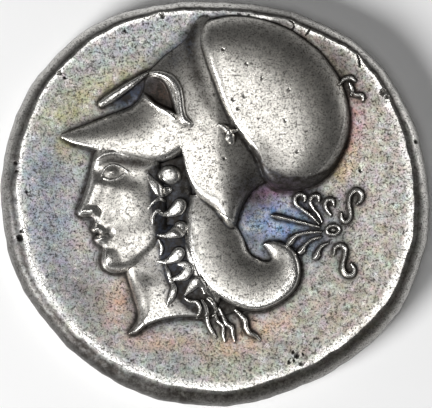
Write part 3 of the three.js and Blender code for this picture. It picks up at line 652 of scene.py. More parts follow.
def add_damage(paper):
    """Cracks in the rim and pits with dark floors, cut into what is there."""
    for rows in CRACKS:
        cut_stroke(paper, rows)
    for x, y, reach, depth in PITS:
        where = paper.beside((x, y), reach)
        pit = knob(paper.x[where], paper.y[where], (x, y), reach, 0.8 * reach, 40 * x)
        paper.z[where] -= depth * pit
        paper.tone_and_shade(where, np.clip(14 * depth, 0, 1) * np.clip(1.6 * pit, 0, 1))


# The flan

# The hammered outline's lobes: how many round the coin, how far out in squares, and towards which angle
LOBES = [(1, 3.2, 85), (2, 1.6, -55), (3, 2.2, 23), (4, 1.8, -40), (5, 1.6, -23)]
# Smaller unevenness of the edge alone
NICKS = [(9, 0.35, 40), (14, 0.4, 200), (23, 0.25, 130), (37, 0.22, 10), (58, 0.15, 75), (89, 0.1, 160)]
# Of the rim's crest: where it runs, in squares, and how high it stands and how bright its painted highlight
# is, as a share
CREST_WANDER = [
    (6, 0.5, 70), (11, 0.4, 190), (19, 0.35, 20), (31, 0.2, 250), (53, 0.12, 110), (97, 0.1, 15),
    (151, 0.06, 200),
]
CREST_UNEVEN = [
    (5, 0.2, 120), (9, 0.2, 310), (17, 0.2, 35), (29, 0.12, 150), (47, 0.08, 220), (71, 0.05, 80),
]
# From the edge in to the rim's crest, in squares: the mean, then how much more and towards which angle, once
# and twice round
RIM_BAND = 14.8
RIM_BAND_DRIFT = [(1, 4, 258), (2, 1.6, 0)]
RIM_SLOPE = 66  # squares from the crest in to the flat field
RIM_LIP = 0.012  # how high its crest stands out of that slope, in millimetres
RIM_CREST = 7  # and how far to either side, in squares
RIM_SHOULDER = 0.04  # the outer foot of its crest over the field, in millimetres
BACK_RIM_BAND = 16
BACK_RIM_SLOPE = 14
BULGE = 2.6  # the power of the edge's superellipse
# How dark the outer wall's painted shade is: the mean, and how much more towards the right and the top
WALL_SHADE = (0.43, -0.2, -0.42)
CREST_SHADE = 0.9  # how dark the painted shade in the line outside the rim's crest is
# The bright line along the crest, worn metal with a painted highlight: how bright, how far inside the crest,
# its half width, and how much wider that is towards the top
CREST_HIGHLIGHT = (0.62, 1.6, 2.4, -0.8)
# The painted shade of a dark crescent under the bowl, as shares of the bowl's reach: its least width, how
# much more at its middle, and the half width in degrees of the bell that it widens by
BOWL_SHADE_CRESCENT = (0.06, 0.23, 34)
# how dark the brown painted shade on the bowl's shaded side is
BOWL_BROWN_SHADE = 0.42
# The die's dents: how wide, in squares, and how deep, in millimetres
DENTS = [(9, 0.006), (2.6, 0.0005)]


def waves(angle, terms):
    """A sum of cosines round the coin."""
    return sum(size * np.cos(count * (angle - np.radians(toward))) for count, size, toward in terms)


def edge_radius(angle):
    """How far the edge is from the coin's middle: an ellipse with lobes, stretched and centred to fill
    the frame's box."""
    a, b = HALF_WIDTH, HALF_HEIGHT
    turn = np.linspace(-np.pi, np.pi, 2881)
    radius = a * b / np.hypot(b * np.cos(turn), a * np.sin(turn)) + waves(turn, LOBES + NICKS)
    points = np.array([radius * np.cos(turn), radius * np.sin(turn)])
    low, high = points.min(axis=1, keepdims=True), points.max(axis=1, keepdims=True)
    points = (points - (low + high) / 2) * 2 * np.array([[a], [b]]) / (high - low)
    around = np.arctan2(points[1], points[0])
    order = np.argsort(around)
    return np.interp(angle, around[order], np.hypot(*points)[order], period=2 * np.pi)


def rim_band(angle):
    """How far the rim's crest is from the edge, in squares."""
    return RIM_BAND + waves(angle, RIM_BAND_DRIFT + CREST_WANDER)


def bulge(share, drop):
    """The coin's edge: how far it has dropped at a share of the way from the silhouette in to the rim's
    crest, as a superellipse's quarter."""
    return -drop * (1 - np.clip(1 - np.clip(1 - share, 0, 1) ** BULGE, 0, None) ** (1 / BULGE))


def head_flan(inward, band, lip, dish):
    """The head side's blank surface, in millimetres over its field, by squares in from the edge: the
    bulging edge, the rim's narrow crest standing up out of it, and the slope down to a slightly dished
    field."""
    edge = RIM_SHOULDER + bulge(inward / band, RIM_SHOULDER + DROP_TO_EDGE)
    outer = edge + (dish + lip - RIM_SHOULDER) * eased(1 - (band - inward) / RIM_CREST)
    return np.where(inward < band, outer, dish + lip * eased(1 - (inward - band) / RIM_CREST))


def die_wear(paper):
    """The die's unevenness, in millimetres: seeded random heights blurred to soft dents of two sizes."""
    heights = np.random.default_rng(5).standard_normal((len(DENTS), *paper.z.shape))
    dents = 0
    for height, (reach, size) in zip(heights, DENTS):
        soft = blurred(height, reach / paper.spacing)
        dents = dents + size * soft / soft.std()
    return dents


def paint_rim_shade_and_highlight(paper, angle, outside, band):
    """The rim's painted shade: dark from its crest out, easing to the wall's own painted shade further out,
    and rubbed bright, worn with a painted highlight, along the crest by a bell."""
    mean, right, top = WALL_SHADE
    wall = mean + right * np.cos(angle) + top * np.sin(angle)
    past = eased((outside / band - 0.24) / 0.3)
    paper.deep = CREST_SHADE * eased((outside - 0.3) / 1.8) - (CREST_SHADE - wall) * past
    bright, within, half, wider = CREST_HIGHLIGHT
    bell = np.exp(-(((outside + within) / (half + wider * np.sin(angle))) ** 2))
    paper.rubbed = bright * (1 + waves(angle, CREST_UNEVEN)) * bell


def paint_bowl_shade(paper, where, share, toward):
    """The bowl's painted shade: a dark crescent under it, wider towards its shaded side by a bell, and brown
    shade near its edge by the cosine of the angle from its brown shaded side."""
    off_side = np.degrees(toward) - BOWL_SHADED_SIDE
    least, more, half = BOWL_SHADE_CRESCENT
    reach = least + more * np.exp(-((off_side / half) ** 2))
    ends = eased((off_side + 42) / 14) * eased((106 - off_side) / 50)
    paper.tone_and_shade(where, ends * eased((share - 1 + reach) / 0.06) * (share < 1))
    facing_side = eased((np.cos(toward - np.radians(BOWL_BROWN_SHADE_SIDE)) + 0.1) / 0.7)
    paper.tone_and_shade(where, BOWL_BROWN_SHADE * facing_side * eased((share - 0.5) / 0.45) * (share < 1))


def head_side():
    """The head side's relief on its squared paper, in millimetres over the field, and its blank surface."""
    paper = Paper(HALF_WIDTH + PAPER_MARGIN, HALF_HEIGHT + PAPER_MARGIN, PAPER_SPACING)
    angle = np.arctan2(paper.y, paper.x)
    inward, band = edge_radius(angle) - np.hypot(paper.x, paper.y), rim_band(angle)
    dish = (RIM_RISE - RIM_LIP) * eased(1 - (inward - RIM_BAND) / RIM_SLOPE)
    paper.z = head_flan(inward, band, RIM_LIP * (1 + waves(angle, CREST_UNEVEN)), dish)
    paper.z += die_wear(paper)
    blank = paper.z.copy()
    # painted shade on the rim's outer slope and wall, and a painted highlight along its crest
    paint_rim_shade_and_highlight(paper, angle, band - inward, band)
    add_form(paper, HAIR_BED, near_power=3, far_power=3, blend=0.03)
    add_neck(paper)
    add_face(paper)
    add_hair(paper)
    add_form(paper, NECK_GUARD, near_power=3, far_power=2)
    # a painted highlight along the neck guard's roll, with its wear
    rub_and_highlight_stroke(paper, GUARD_EDGE_HIGHLIGHT)
    add_helmet(paper)
    # painted shade in a crescent under the bowl, and brown shade on its side turned from the light
    paint_bowl_shade(paper, *add_dome(paper, BOWL, BOWL_CREST, BOWL_RELIEF, BOWL_STEEPNESS))
    add_ornaments(paper)
    raise_stroke(paper, BOWL_LINE)
    add_damage(paper)
    # painted shade under the visor and the bowl, at the throat and in the other listed places
    for x, y, across, up, turn, strength in PAINTED_SHADE_PLACES:
        paper.tone_and_shade(..., strength * knob(paper.x, paper.y, (x, y), across, up, turn))
    return paper, blank


# The side that the coin lies on: a winged horse flying left, as seen from below, plainer and rubbed flat

HORSE_WEAR = 0.38  # how high its rubbed points stand over their field
BARREL = [
    (-66, 8, -52, -42, 0.5, 0.5), (-46, 20, -36, -52, 0.5, 0.5), (-12, 22, -4, -48, 0.5, 0.5),
    (26, 18, 26, -41, 0.5, 0.5), (58, 20, 58, -45, 0.5, 0.5), (84, 12, 80, -52, 0.5, 0.5),
    (98, -8, 94, -36, 0.46, 0.5),
]
NECK_AND_HEAD = [
    (-42, -8, 26, 0.5), (-66, 24, 21, 0.5), (-86, 54, 15, 0.48), (-101, 70, 13, 0.47), (-119, 61, 11, 0.46),
    (-133, 47, 8, 0.45), (-141, 39, 6.5, 0.42),
]
HORSE_LIMBS = [
    [(-98, 78, 4, 0.42), (-95, 88, 3.4, 0.42), (-90, 96, 1.6, 0.4)],
    [(-88, 84, 3, 0.42), (-72, 68, 4.4, 0.42), (-55, 44, 5, 0.42), (-44, 22, 4, 0.42)],
    [(-52, -28, 18, 0.5), (-92, -32, 9, 0.46), (-122, -10, 7, 0.45), (-132, -34, 5, 0.44),
     (-139, -42, 7, 0.44)],
    [(-40, -38, 17, 0.48), (-74, -64, 8.5, 0.45), (-106, -56, 6.5, 0.44), (-114, -80, 5, 0.43),
     (-121, -88, 7, 0.43)],
    [(82, -28, 21, 0.5), (110, -60, 11, 0.46), (132, -54, 7.5, 0.45), (146, -74, 5.5, 0.44),
     (153, -82, 7, 0.44)],
    [(66, -36, 19, 0.48), (82, -78, 10, 0.45), (106, -88, 7, 0.44), (114, -112, 5.5, 0.43),
     (121, -120, 7, 0.43)],
    [(94, -4, 6, 0.44), (116, 11, 8, 0.45), (138, 3, 8, 0.44), (152, -18, 6, 0.42), (163, -16, 3, 0.4)],
    [(-36, -10, 15, 0.5), (-22, 28, 13, 0.5), (6, 56, 11, 0.5), (38, 78, 8, 0.48)],
]
HORSE_GROOVES = [
    [(-90, 60, 1.2, 0.05), (-84, 78, 1.2, 0.05)],
    [(-128, 46, 1, 0.06), (-134, 42, 1.6, 0.06)],
    [(-60, -6, 1.4, 0.05), (-44, -26, 1.6, 0.07), (-24, -30, 1.2, 0.03)],
    [(60, 4, 1.2, 0.03), (70, -20, 1.8, 0.07), (88, -36, 1.4, 0.05)],
    [(-28, 0, 1.2, 0.05), (-8, 28, 1.6, 0.07), (16, 48, 1.2, 0.05)],
    [(104, 2, 1, 0.05), (124, 8, 1.2, 0.06), (142, -6, 1, 0.05)],
]
# The wing's feathers: the top one and the lowest, with the others evenly between
FEATHERS = 6
TOP_FEATHER = [(34, 72, 6, 0.44), (65, 89.5, 6.4, 0.44), (89.8, 112, 5.6, 0.44), (96, 135, 4, 0.44),
               (89.8, 148, 1.6, 0.44)]
LOW_FEATHER = [(-14, 14, 6, 0.44), (17, 18.2, 6.4, 0.44), (41.8, 23.6, 5.6, 0.44), (48, 32, 4, 0.44),
               (41.8, 38, 1.6, 0.44)]


def join_ridge(paper, rows):
    """A ridge from the field up: height times the square root of one less the share off, squared."""
    where, off, height = stroke(paper, rows)
    top = height * np.sqrt(np.clip(1 - off**2, 0, None))
    paper.join(where, np.where(off < 1, top, OFF_FORM), FILLET)


def back_flan(inward, band):
    """The blank surface of the side it lies on, in millimetres over its field, as head_flan's but softer."""
    rim = BACK_RIM_RISE * eased(1 - (inward - band) / BACK_RIM_SLOPE)
    edge = BACK_RIM_RISE + bulge(inward / band, BACK_RIM_RISE + EDGE_HEIGHT - BACK_FIELD)
    return np.where(inward < band, edge, rim)


def horse_side():
    """The relief of the side it lies on, in millimetres out from its field, seen from below, and its
    blank."""
    paper = Paper(HALF_WIDTH + PAPER_MARGIN, HALF_HEIGHT + PAPER_MARGIN, 2 * PAPER_SPACING)
    angle = np.arctan2(paper.y, -paper.x)
    paper.z = back_flan(edge_radius(angle) - np.hypot(paper.x, paper.y), BACK_RIM_BAND)
    blank = paper.z.copy()
    add_form(paper, BARREL, near_power=3, far_power=3)
    for rows in (NECK_AND_HEAD, *HORSE_LIMBS, *np.linspace(TOP_FEATHER, LOW_FEATHER, FEATHERS)):
        join_ridge(paper, rows)
    paper.z = np.minimum(paper.z, HORSE_WEAR)
    for rows in HORSE_GROOVES:
        cut_stroke(paper, rows)
    return paper, blank


# The coin's mesh

CELLS = 1024  # across each side's grid before it is thinned; a power of two
COARSEST = 16  # cells across the largest triangles that stay
COARSEST_AT_EDGE = 4  # and along the silhouette
INNER = 0.93  # the share of the grid's rings that lie flat on the die; the rest turn round the edge
TURN_AT = 0.9  # where they start to turn, as a share of the way from the silhouette in to the rim's crest
PLAIN_EDGE, PLAIN_EDGE_FADE = 0.25, 0.15  # the part of that way that is a plain bulge, and where it fades
BACK_WEIGHT = 0.45  # how much a loss counts on the side that it lies on
ALWAYS = 1e3  # a loss past any limit, where the mesh is split whatever its shape


def sampled(paper, values, x, y):
    """Values on squared paper, read between its crossings."""
    column = np.clip((x - paper.columns[0]) / paper.spacing, 0, len(paper.columns) - 1.001)
    row = np.clip((y - paper.rows[0]) / paper.spacing, 0, len(paper.rows) - 1.001)
    i, j = row.astype(int), column.astype(int)
    up, across = row - i, column - j
    low = values[i, j] * (1 - across) + values[i, j + 1] * across
    high = values[i + 1, j] * (1 - across) + values[i + 1, j + 1] * across
    return low * (1 - up) + high * up


def folded_disc():
    """A square grid folded into a disc, ring by square ring: the ring a point lies on, from 0 to 1, and
    its angle, which goes evenly along each side of the square."""
    a, b = np.meshgrid(*2 * [np.linspace(-1, 1, CELLS + 1)])
    with np.errstate(divide="ignore", invalid="ignore"):
        beside = np.pi / 4 * b / a + np.pi * (a < 0)
        over = np.pi / 2 - np.pi / 4 * a / b + np.pi * (b < 0)
    angle = np.where(np.abs(a) >= np.abs(b), beside, over)
    return np.maximum(np.abs(a), np.abs(b)), np.nan_to_num(angle)


def half_coin(band_at):
    """One side of the coin on the folded disc: squares across and up, and the share in from the
    silhouette to the rim's crest. The outer rings follow the edge's superellipse by its angle, so that
    they don't bunch at the silhouette."""
    ring, angle = folded_disc()
    band, radius = band_at(angle), edge_radius(angle)
    start = np.arcsin((1 - TURN_AT) ** (BULGE / 2))
    turn = start + (np.pi / 2 - start) * np.clip((ring - INNER) / (1 - INNER), 0, 1)
    share = 1 - np.sin(turn) ** (2 / BULGE)
    flat = ring / INNER * (radius - TURN_AT * band)
    reach = np.where(ring < INNER, flat, radius - share * band)
    share = np.where(ring < INNER, (radius - flat) / band, share)
    return reach * np.cos(angle), reach * np.sin(angle), share


def side_surface(paper, band_at, across, shoulder, edge_drop):
    """A side as an array of points, in squares: its paper's heights, and the plain bulge near the
    silhouette, where the paper is too coarse for so steep a fall."""
    x, y, share = half_coin(band_at)
    plain = shoulder + bulge(share, edge_drop)
    keep = eased((share - PLAIN_EDGE) / PLAIN_EDGE_FADE)
    return np.dstack([x, y, (sampled(paper, paper.z, across * x, y) * keep + plain * (1 - keep)) * MM])


def facing(points):
    """The unit normal at each crossing of a grid of points, across its rows' and columns' steps."""
    normal = np.cross(np.gradient(points, axis=1), np.gradient(points, axis=0))
    return normal / np.maximum(np.linalg.norm(normal, axis=2, keepdims=True), 1e-12)


def lost_detail(sides, normals, weights):
    """For each crossing of the two sides' grids, how far the surface would move if triangles weren't
    split there: its own distance from the middle of the edge across it, or the most of the crossings that
    depend on it."""
    lost = np.zeros(sides.shape[:3])

    def missed(middle, at):
        """How far the surface is from the middles of some edges."""
        return np.abs(((middle - sides[at]) * normals[at]).sum(axis=-1)) * weights

    step = 1
    while step < CELLS:
        even, odd = slice(None, None, 2 * step), slice(step, None, 2 * step)
        around = np.zeros((2, CELLS // step + 2, CELLS // step + 2))
        if step > 1:
            around = np.pad(lost[:, step // 2 :: step, step // 2 :: step], ((0, 0), (1, 1), (1, 1)))
        keep = ALWAYS * (2 * step > COARSEST)
        ends = sides[:, even, even]
        four = [(np.s_[a::2], b) for a in (0, 1) for b in (np.s_[1:-1:2], np.s_[2::2])]
        needed = np.max([around[:, a, b] for a, b in four], axis=0)
        middle = (ends[:, :, 1:] + ends[:, :, :-1]) / 2
        lost[:, even, odd] = np.maximum(needed, missed(middle, np.s_[:, even, odd])) + keep
        needed = np.max([around[:, b, a] for a, b in four], axis=0)
        middle = (ends[:, 1:] + ends[:, :-1]) / 2
        lost[:, odd, even] = np.maximum(needed, missed(middle, np.s_[:, odd, even])) + keep
        for border in (np.s_[:, 0], np.s_[:, -1], np.s_[:, :, 0], np.s_[:, :, -1]):
            lost[border] = lost[border].max(axis=0) + ALWAYS * (2 * step > COARSEST_AT_EDGE)
        main = (ends[:, 1:, 1:] + ends[:, :-1, :-1]) / 2
        other = (ends[:, 1:, :-1] + ends[:, :-1, 1:]) / 2
        place = np.arange(main.shape[1])
        middle = np.where(((place[:, None] + place) % 2 == 0)[..., None], main, other)
        level, upright = lost[:, even, odd], lost[:, odd, even]
        needed = np.max([level[:, :-1], level[:, 1:], upright[:, :, :-1], upright[:, :, 1:]], axis=0)
        lost[:, odd, odd] = np.maximum(needed, missed(middle, np.s_[:, odd, odd]))
        step *= 2
    return lost


def thinned_faces(lost, limit):
    """Right triangles over a square grid, halved at the middle of their long side wherever more than the
    limit would be lost, as indices of the grid's crossings. Neighbours always halve together, so there
    are no gaps."""
    n = CELLS
    triangles = np.array([[[0, 0], [n, n], [n, 0]], [[n, n], [0, 0], [0, n]]])
    done = []
    while len(triangles):
        a, b, c = triangles.transpose(1, 0, 2)
        middle = (a + b) // 2
        split = (np.abs(a - b).max(axis=1) > 1) & (lost[middle[:, 0], middle[:, 1]] > limit)
        done.append(triangles[~split])
        a, b, c, middle = (corner[split] for corner in (a, b, c, middle))
        triangles = np.concatenate([np.stack([c, a, middle], 1), np.stack([b, c, middle], 1)])
    done = np.concatenate(done)
    return done[:, :, 0] * (n + 1) + done[:, :, 1]


def coin_surface(head, horse, limit):
    """The whole coin: vertices in squares, triangles, normals, and which vertices are the head side's.
    The two sides share their vertices along the silhouette."""
    top = side_surface(head, rim_band, 1, RIM_SHOULDER, RIM_SHOULDER + DROP_TO_EDGE)
    top[:, :, 2] += HEAD_FIELD * MM
    back_drop = BACK_RIM_RISE + EDGE_HEIGHT - BACK_FIELD
    bottom = side_surface(horse, lambda angle: BACK_RIM_BAND + 0 * angle, -1, BACK_RIM_RISE, back_drop)
    bottom[:, :, 2] = BACK_FIELD * MM - bottom[:, :, 2]
    sides = np.array([top, bottom])
    normals = np.array([facing(top), -facing(bottom)])
    lost = lost_detail(sides, normals, np.array([1, BACK_WEIGHT])[:, None, None])
    over, under = (thinned_faces(each, limit) for each in lost)
    crossings = (CELLS + 1) ** 2
    i, j = np.divmod(np.arange(crossings), CELLS + 1)
    on_border = (i == 0) | (i == CELLS) | (j == 0) | (j == CELLS)
    shared = np.arange(crossings) + crossings * ~on_border
    faces = np.vstack([over, shared[under][:, ::-1]])
    points, normals = sides.reshape(-1, 3), normals.reshape(2, -1, 3)
    normals[0, on_border] += normals[1, on_border]
    normals = normals.reshape(-1, 3)
    used, faces = np.unique(faces, return_inverse=True)
    normals = normals[used] / np.linalg.norm(normals[used], axis=1, keepdims=True)
    return points[used], faces.reshape(-1, 3), normals, used < crossings


def new_mesh(name, points, faces, normals):
    """A mesh from arrays of vertices in squares, triangles and vertex normals."""
    mesh = bpy.data.meshes.new(name)
    mesh.vertices.add(len(points))
    mesh.vertices.foreach_set("co", (points / SQUARES).astype(np.float32).ravel())
    mesh.loops.add(faces.size)
    mesh.loops.foreach_set("vertex_index", faces.astype(np.int32).ravel())
    mesh.polygons.add(len(faces))
    mesh.polygons.foreach_set("loop_start", np.arange(0, faces.size, 3, dtype=np.int32))
    mesh.update(calc_edges=True)
    mesh.normals_split_custom_set_from_vertices(normals)
    return mesh


# Toning: what the die's relief tells the patina, with the painted shade and highlights, and where its colours
# lie

# Tinted places on the head side: x, y, reach across and up, turn, tint and strength
TINTS = [
    (-112, 122, 64, 18, 32, "straw", 1), (-150, 90, 30, 14, 24, "straw", 1),
    (-142, 46, 12, 26, 0, "straw", 0.9), (-147, 12, 16, 20, 0, "rose", 0.7),
    (-140, -34, 16, 34, 10, "rose", 0.6), (-98, -100, 16, 28, -15, "rose", 0.8),
    (-60, -138, 44, 12, -4, "rose", 0.9), (20, -142, 40, 12, 12, "rose", 0.7),
    (52, -122, 44, 12, 14, "rose", 0.7), (141, 84, 12, 36, -8, "violet", 0.9),
    (133, 64, 9, 42, -8, "pink", 1), (128, 40, 14, 26, -30, "straw", 0.8),
    (130, 46, 10, 18, -28, "rose", 0.8), (52, -6, 44, 40, 0, "blue", 1), (70, -18, 30, 26, 0, "blue", 0.8),
    (56, 12, 34, 12, 10, "violet", 0.9), (92, -40, 26, 16, 0, "blue", 0.5),
    (-160, -10, 46, 90, 0, "steel", 0.7), (-90, 150, 80, 26, 30, "steel", 0.5),
    (-70, -160, 70, 26, -12, "steel", 0.5), (140, -110, 60, 60, 0, "sand", 0.7),
    (0, -160, 110, 44, 0, "straw", 0.22), (160, 60, 36, 90, 0, "sand", 0.5),
    (-5, -36, 40, 60, 0, "steel", 0.4), (-46, -36, 30, 84, 6, "blue", 0.8),
    (170, -40, 36, 60, 0, "sand", 0.4), (-150, 30, 40, 60, 0, "steel", 0.4),
    (10, 190, 60, 10, 0, "steel", 0.4), (-56, 110, 20, 22, -20, "rust", 1),
    (-84, 108, 24, 9, 30, "blue", 1), (100, 130, 40, 60, 40, "earth", 0.9),
    (-36, 150, 30, 12, 40, "blue", 0.7), (-150, 58, 12, 12, 0, "straw", 0.9),
]
# Places on the head side painted darker, as painted shade under and beside forms, with some toning: x, y,
# reach across and up, turn and strength
PAINTED_SHADE_PLACES = [
    (36, 22, 44, 60, -30, 0.9), (-104, 88, 56, 13, 22, 0.15), (-86, 108, 34, 13, 33, 1),
    (-42, 142, 66, 26, 38, 0.7), (-76, -84, 20, 36, -10, 0.7), (-60, -62, 40, 14, -20, 0.6),
    (-18, 112, 26, 40, 0, 0.25), (60, 188, 76, 16, -10, 0.6), (124, 130, 26, 64, 32, 0.5),
    (-20, 5, 16, 44, 30, 0.6), (60, -46, 24, 18, 0, 0.5), (-84, 42, 64, 12, -6, 0.9),
    (-44, -60, 24, 76, 8, 0.6), (-4, -112, 64, 16, 0, 0.6), (36, -36, 30, 16, 0, 0.4),
    (4, -16, 40, 22, -35, 0.35),
]
TINT_COLOURS = {
    "straw": (0.52, 0.47, 0.2), "sand": (0.365, 0.305, 0.225), "earth": (0.3, 0.23, 0.16),
    "rust": (0.2, 0.085, 0.04), "rose": (0.62, 0.37, 0.25), "pink": (0.6, 0.17, 0.21),
    "violet": (0.44, 0.22, 0.33), "blue": (0.15, 0.25, 0.46), "steel": (0.31, 0.365, 0.45),
}
FIELD_COLOUR = (0.32, 0.315, 0.3)
# How far round a place its relief is weighed to find it hollow or proud, in squares
NEAR, WIDE = 2.2, 7
# How strongly a millimetre's step shows there, and for the wider one on raised forms and in the field
PROUD_NEAR, PROUD_WIDE = 10, 1.2
HOLLOW_NEAR, HOLLOW_WIDE_RAISED, HOLLOW_WIDE_FIELD = 14, 4, 1.2
RAISED = 0.03  # how far over the blank a form stands before it counts as raised, in millimetres


def toned(paper, blank, tints):
    """What the patina needs at each crossing of the paper: how hollow the place is, with its painted shade,
    how far it stands proud, with its wear and painted highlights, how near it is to the relief's foot, and
    the tint of a field there."""
    near = np.clip(blurred(paper.z, NEAR / paper.spacing) - paper.z, -0.2, 0.2)
    wide = np.clip(blurred(paper.z, WIDE / paper.spacing) - paper.z, -0.4, 0.4)
    relief = (paper.z - blank > RAISED).astype(float)
    # where it stands proud, with wear and the painted highlights
    proud = np.maximum(np.clip(-near * PROUD_NEAR - wide * PROUD_WIDE, 0, 1), paper.rubbed)
    wide_share = np.where(relief, HOLLOW_WIDE_RAISED, HOLLOW_WIDE_FIELD)
    hollow = np.clip(near * HOLLOW_NEAR + np.clip(wide, 0, 1) * wide_share, 0, 1)
    # the painted shade joins the hollows' toning here, and wear and painted highlights lighten it
    hollow = np.maximum(hollow, paper.deep) * (1 - 0.95 * paper.rubbed)
    foot = np.clip(blurred(relief, WIDE / paper.spacing) * 2, 0, 1) * (1 - relief)
    tint = np.empty((*paper.z.shape, 3))
    tint[:] = FIELD_COLOUR
    for x, y, across, up, turn, name, strength in tints:
        a, b = turned(paper.x, paper.y, (x, y), turn)
        share = strength * np.exp(-1.4 * ((a / across) ** 2 + (b / up) ** 2))[..., None]
        tint = tint * (1 - share) + np.array(TINT_COLOURS[name]) * share
    return [hollow, proud, foot, relief], tint


def paint_attributes(mesh, points, on_head, head, horse):
    """Gives the mesh its two colour attributes: relief, which holds hollow with its painted shade, proud with
    its painted highlights, foot and raised, and tint."""
    relief, tint = np.ones((len(points), 4)), np.ones((len(points), 4))
    for (paper, blank, tints), of, across in ((head, on_head, 1), (horse, ~on_head, -1)):
        masks, colours = toned(paper, blank, tints)
        x, y = across * points[of, 0], points[of, 1]
        relief[of] = np.array([sampled(paper, mask, x, y) for mask in masks]).T
        tint[of, :3] = np.array([sampled(paper, colours[..., i], x, y) for i in range(3)]).T
    for name, values in (("relief", relief), ("tint", tint)):
        layer = mesh.attributes.new(name, "FLOAT_COLOR", "POINT")
        layer.data.foreach_set("color", values.astype(np.float32).ravel())


# Materials

class Nodes:
    """A short way to lay out and link a material's nodes."""

    def __init__(self, tree):
        self.tree = tree

    def add(self, kind, values=None, **settings):
        """A new node with its settings, and its sockets set or linked by name."""
        node = self.tree.nodes.new(kind)
        for name, value in settings.items():
            setattr(node, name, value)
        for name, value in (values or {}).items():
            self.set(node.inputs[name], value)
        return node

    def set(self, socket, value):
        """Links a socket to another, or gives it a value."""
        if isinstance(value, bpy.types.NodeSocket):
            self.tree.links.new(value, socket)
        else:
            socket.default_value = value

    def math(self, operation, *values, clamp=False):
        """A sum, difference or product of two values."""
        node = self.add("ShaderNodeMath", operation=operation, use_clamp=clamp)
        for socket, value in zip(node.inputs, values):
            self.set(socket, value)
        return node.outputs[0]

    def mix(self, share, a, b, blend="MIX"):
        """Two colours mixed by a share, either of them a socket or a tuple."""
        node = self.add("ShaderNodeMix", data_type="RGBA", blend_type=blend, clamp_factor=True)
        self.set(node.inputs[0], share)
        for socket, value in zip(node.inputs[6:8], (a, b)):
            self.set(socket, (*value, 1) if isinstance(value, tuple) else value)
        return node.outputs[2]

    def noise(self, place, scale, detail, roughness=0.5, output="Fac"):
        """Noise over a place, as a value or a colour."""
        values = {"Vector": place, "Scale": scale, "Detail": detail, "Roughness": roughness}
        return self.add("ShaderNodeTexNoise", values).outputs[output]

    def range(self, value, low, high, to_low, to_high, smooth=False):
        """A value carried from one range to another and kept within it."""
        values = {"Value": value, "From Min": low, "From Max": high, "To Min": to_low, "To Max": to_high}
        kind = "SMOOTHSTEP" if smooth else "LINEAR"
        return self.add("ShaderNodeMapRange", values, interpolation_type=kind).outputs[0]


def new_material(name):
    """A material with one plain shader, ready for its nodes."""
    material = bpy.data.materials.new(name)
    material.use_nodes = True
    material.node_tree.nodes.clear()
    nodes = Nodes(material.node_tree)
    shader = nodes.add("ShaderNodeBsdfPrincipled")
    output = nodes.add("ShaderNodeOutputMaterial")
    material.node_tree.links.new(shader.outputs[0], output.inputs[0])
    return material, nodes, shader


# Noises in the metal's toning: scale, detail and roughness
CLOUD = (420, 4, 0.6)
MOTTLE = (1900, 5, 0.7)
COLOURS = (2200, 3, 0.6)
SCUFFS = (3400, 4, 0.75)
FINE_PITS = (8500, 2, 0.7)
GRAIN = (15000, 1, 0.5)
PIT_DEPTH = 0.00004


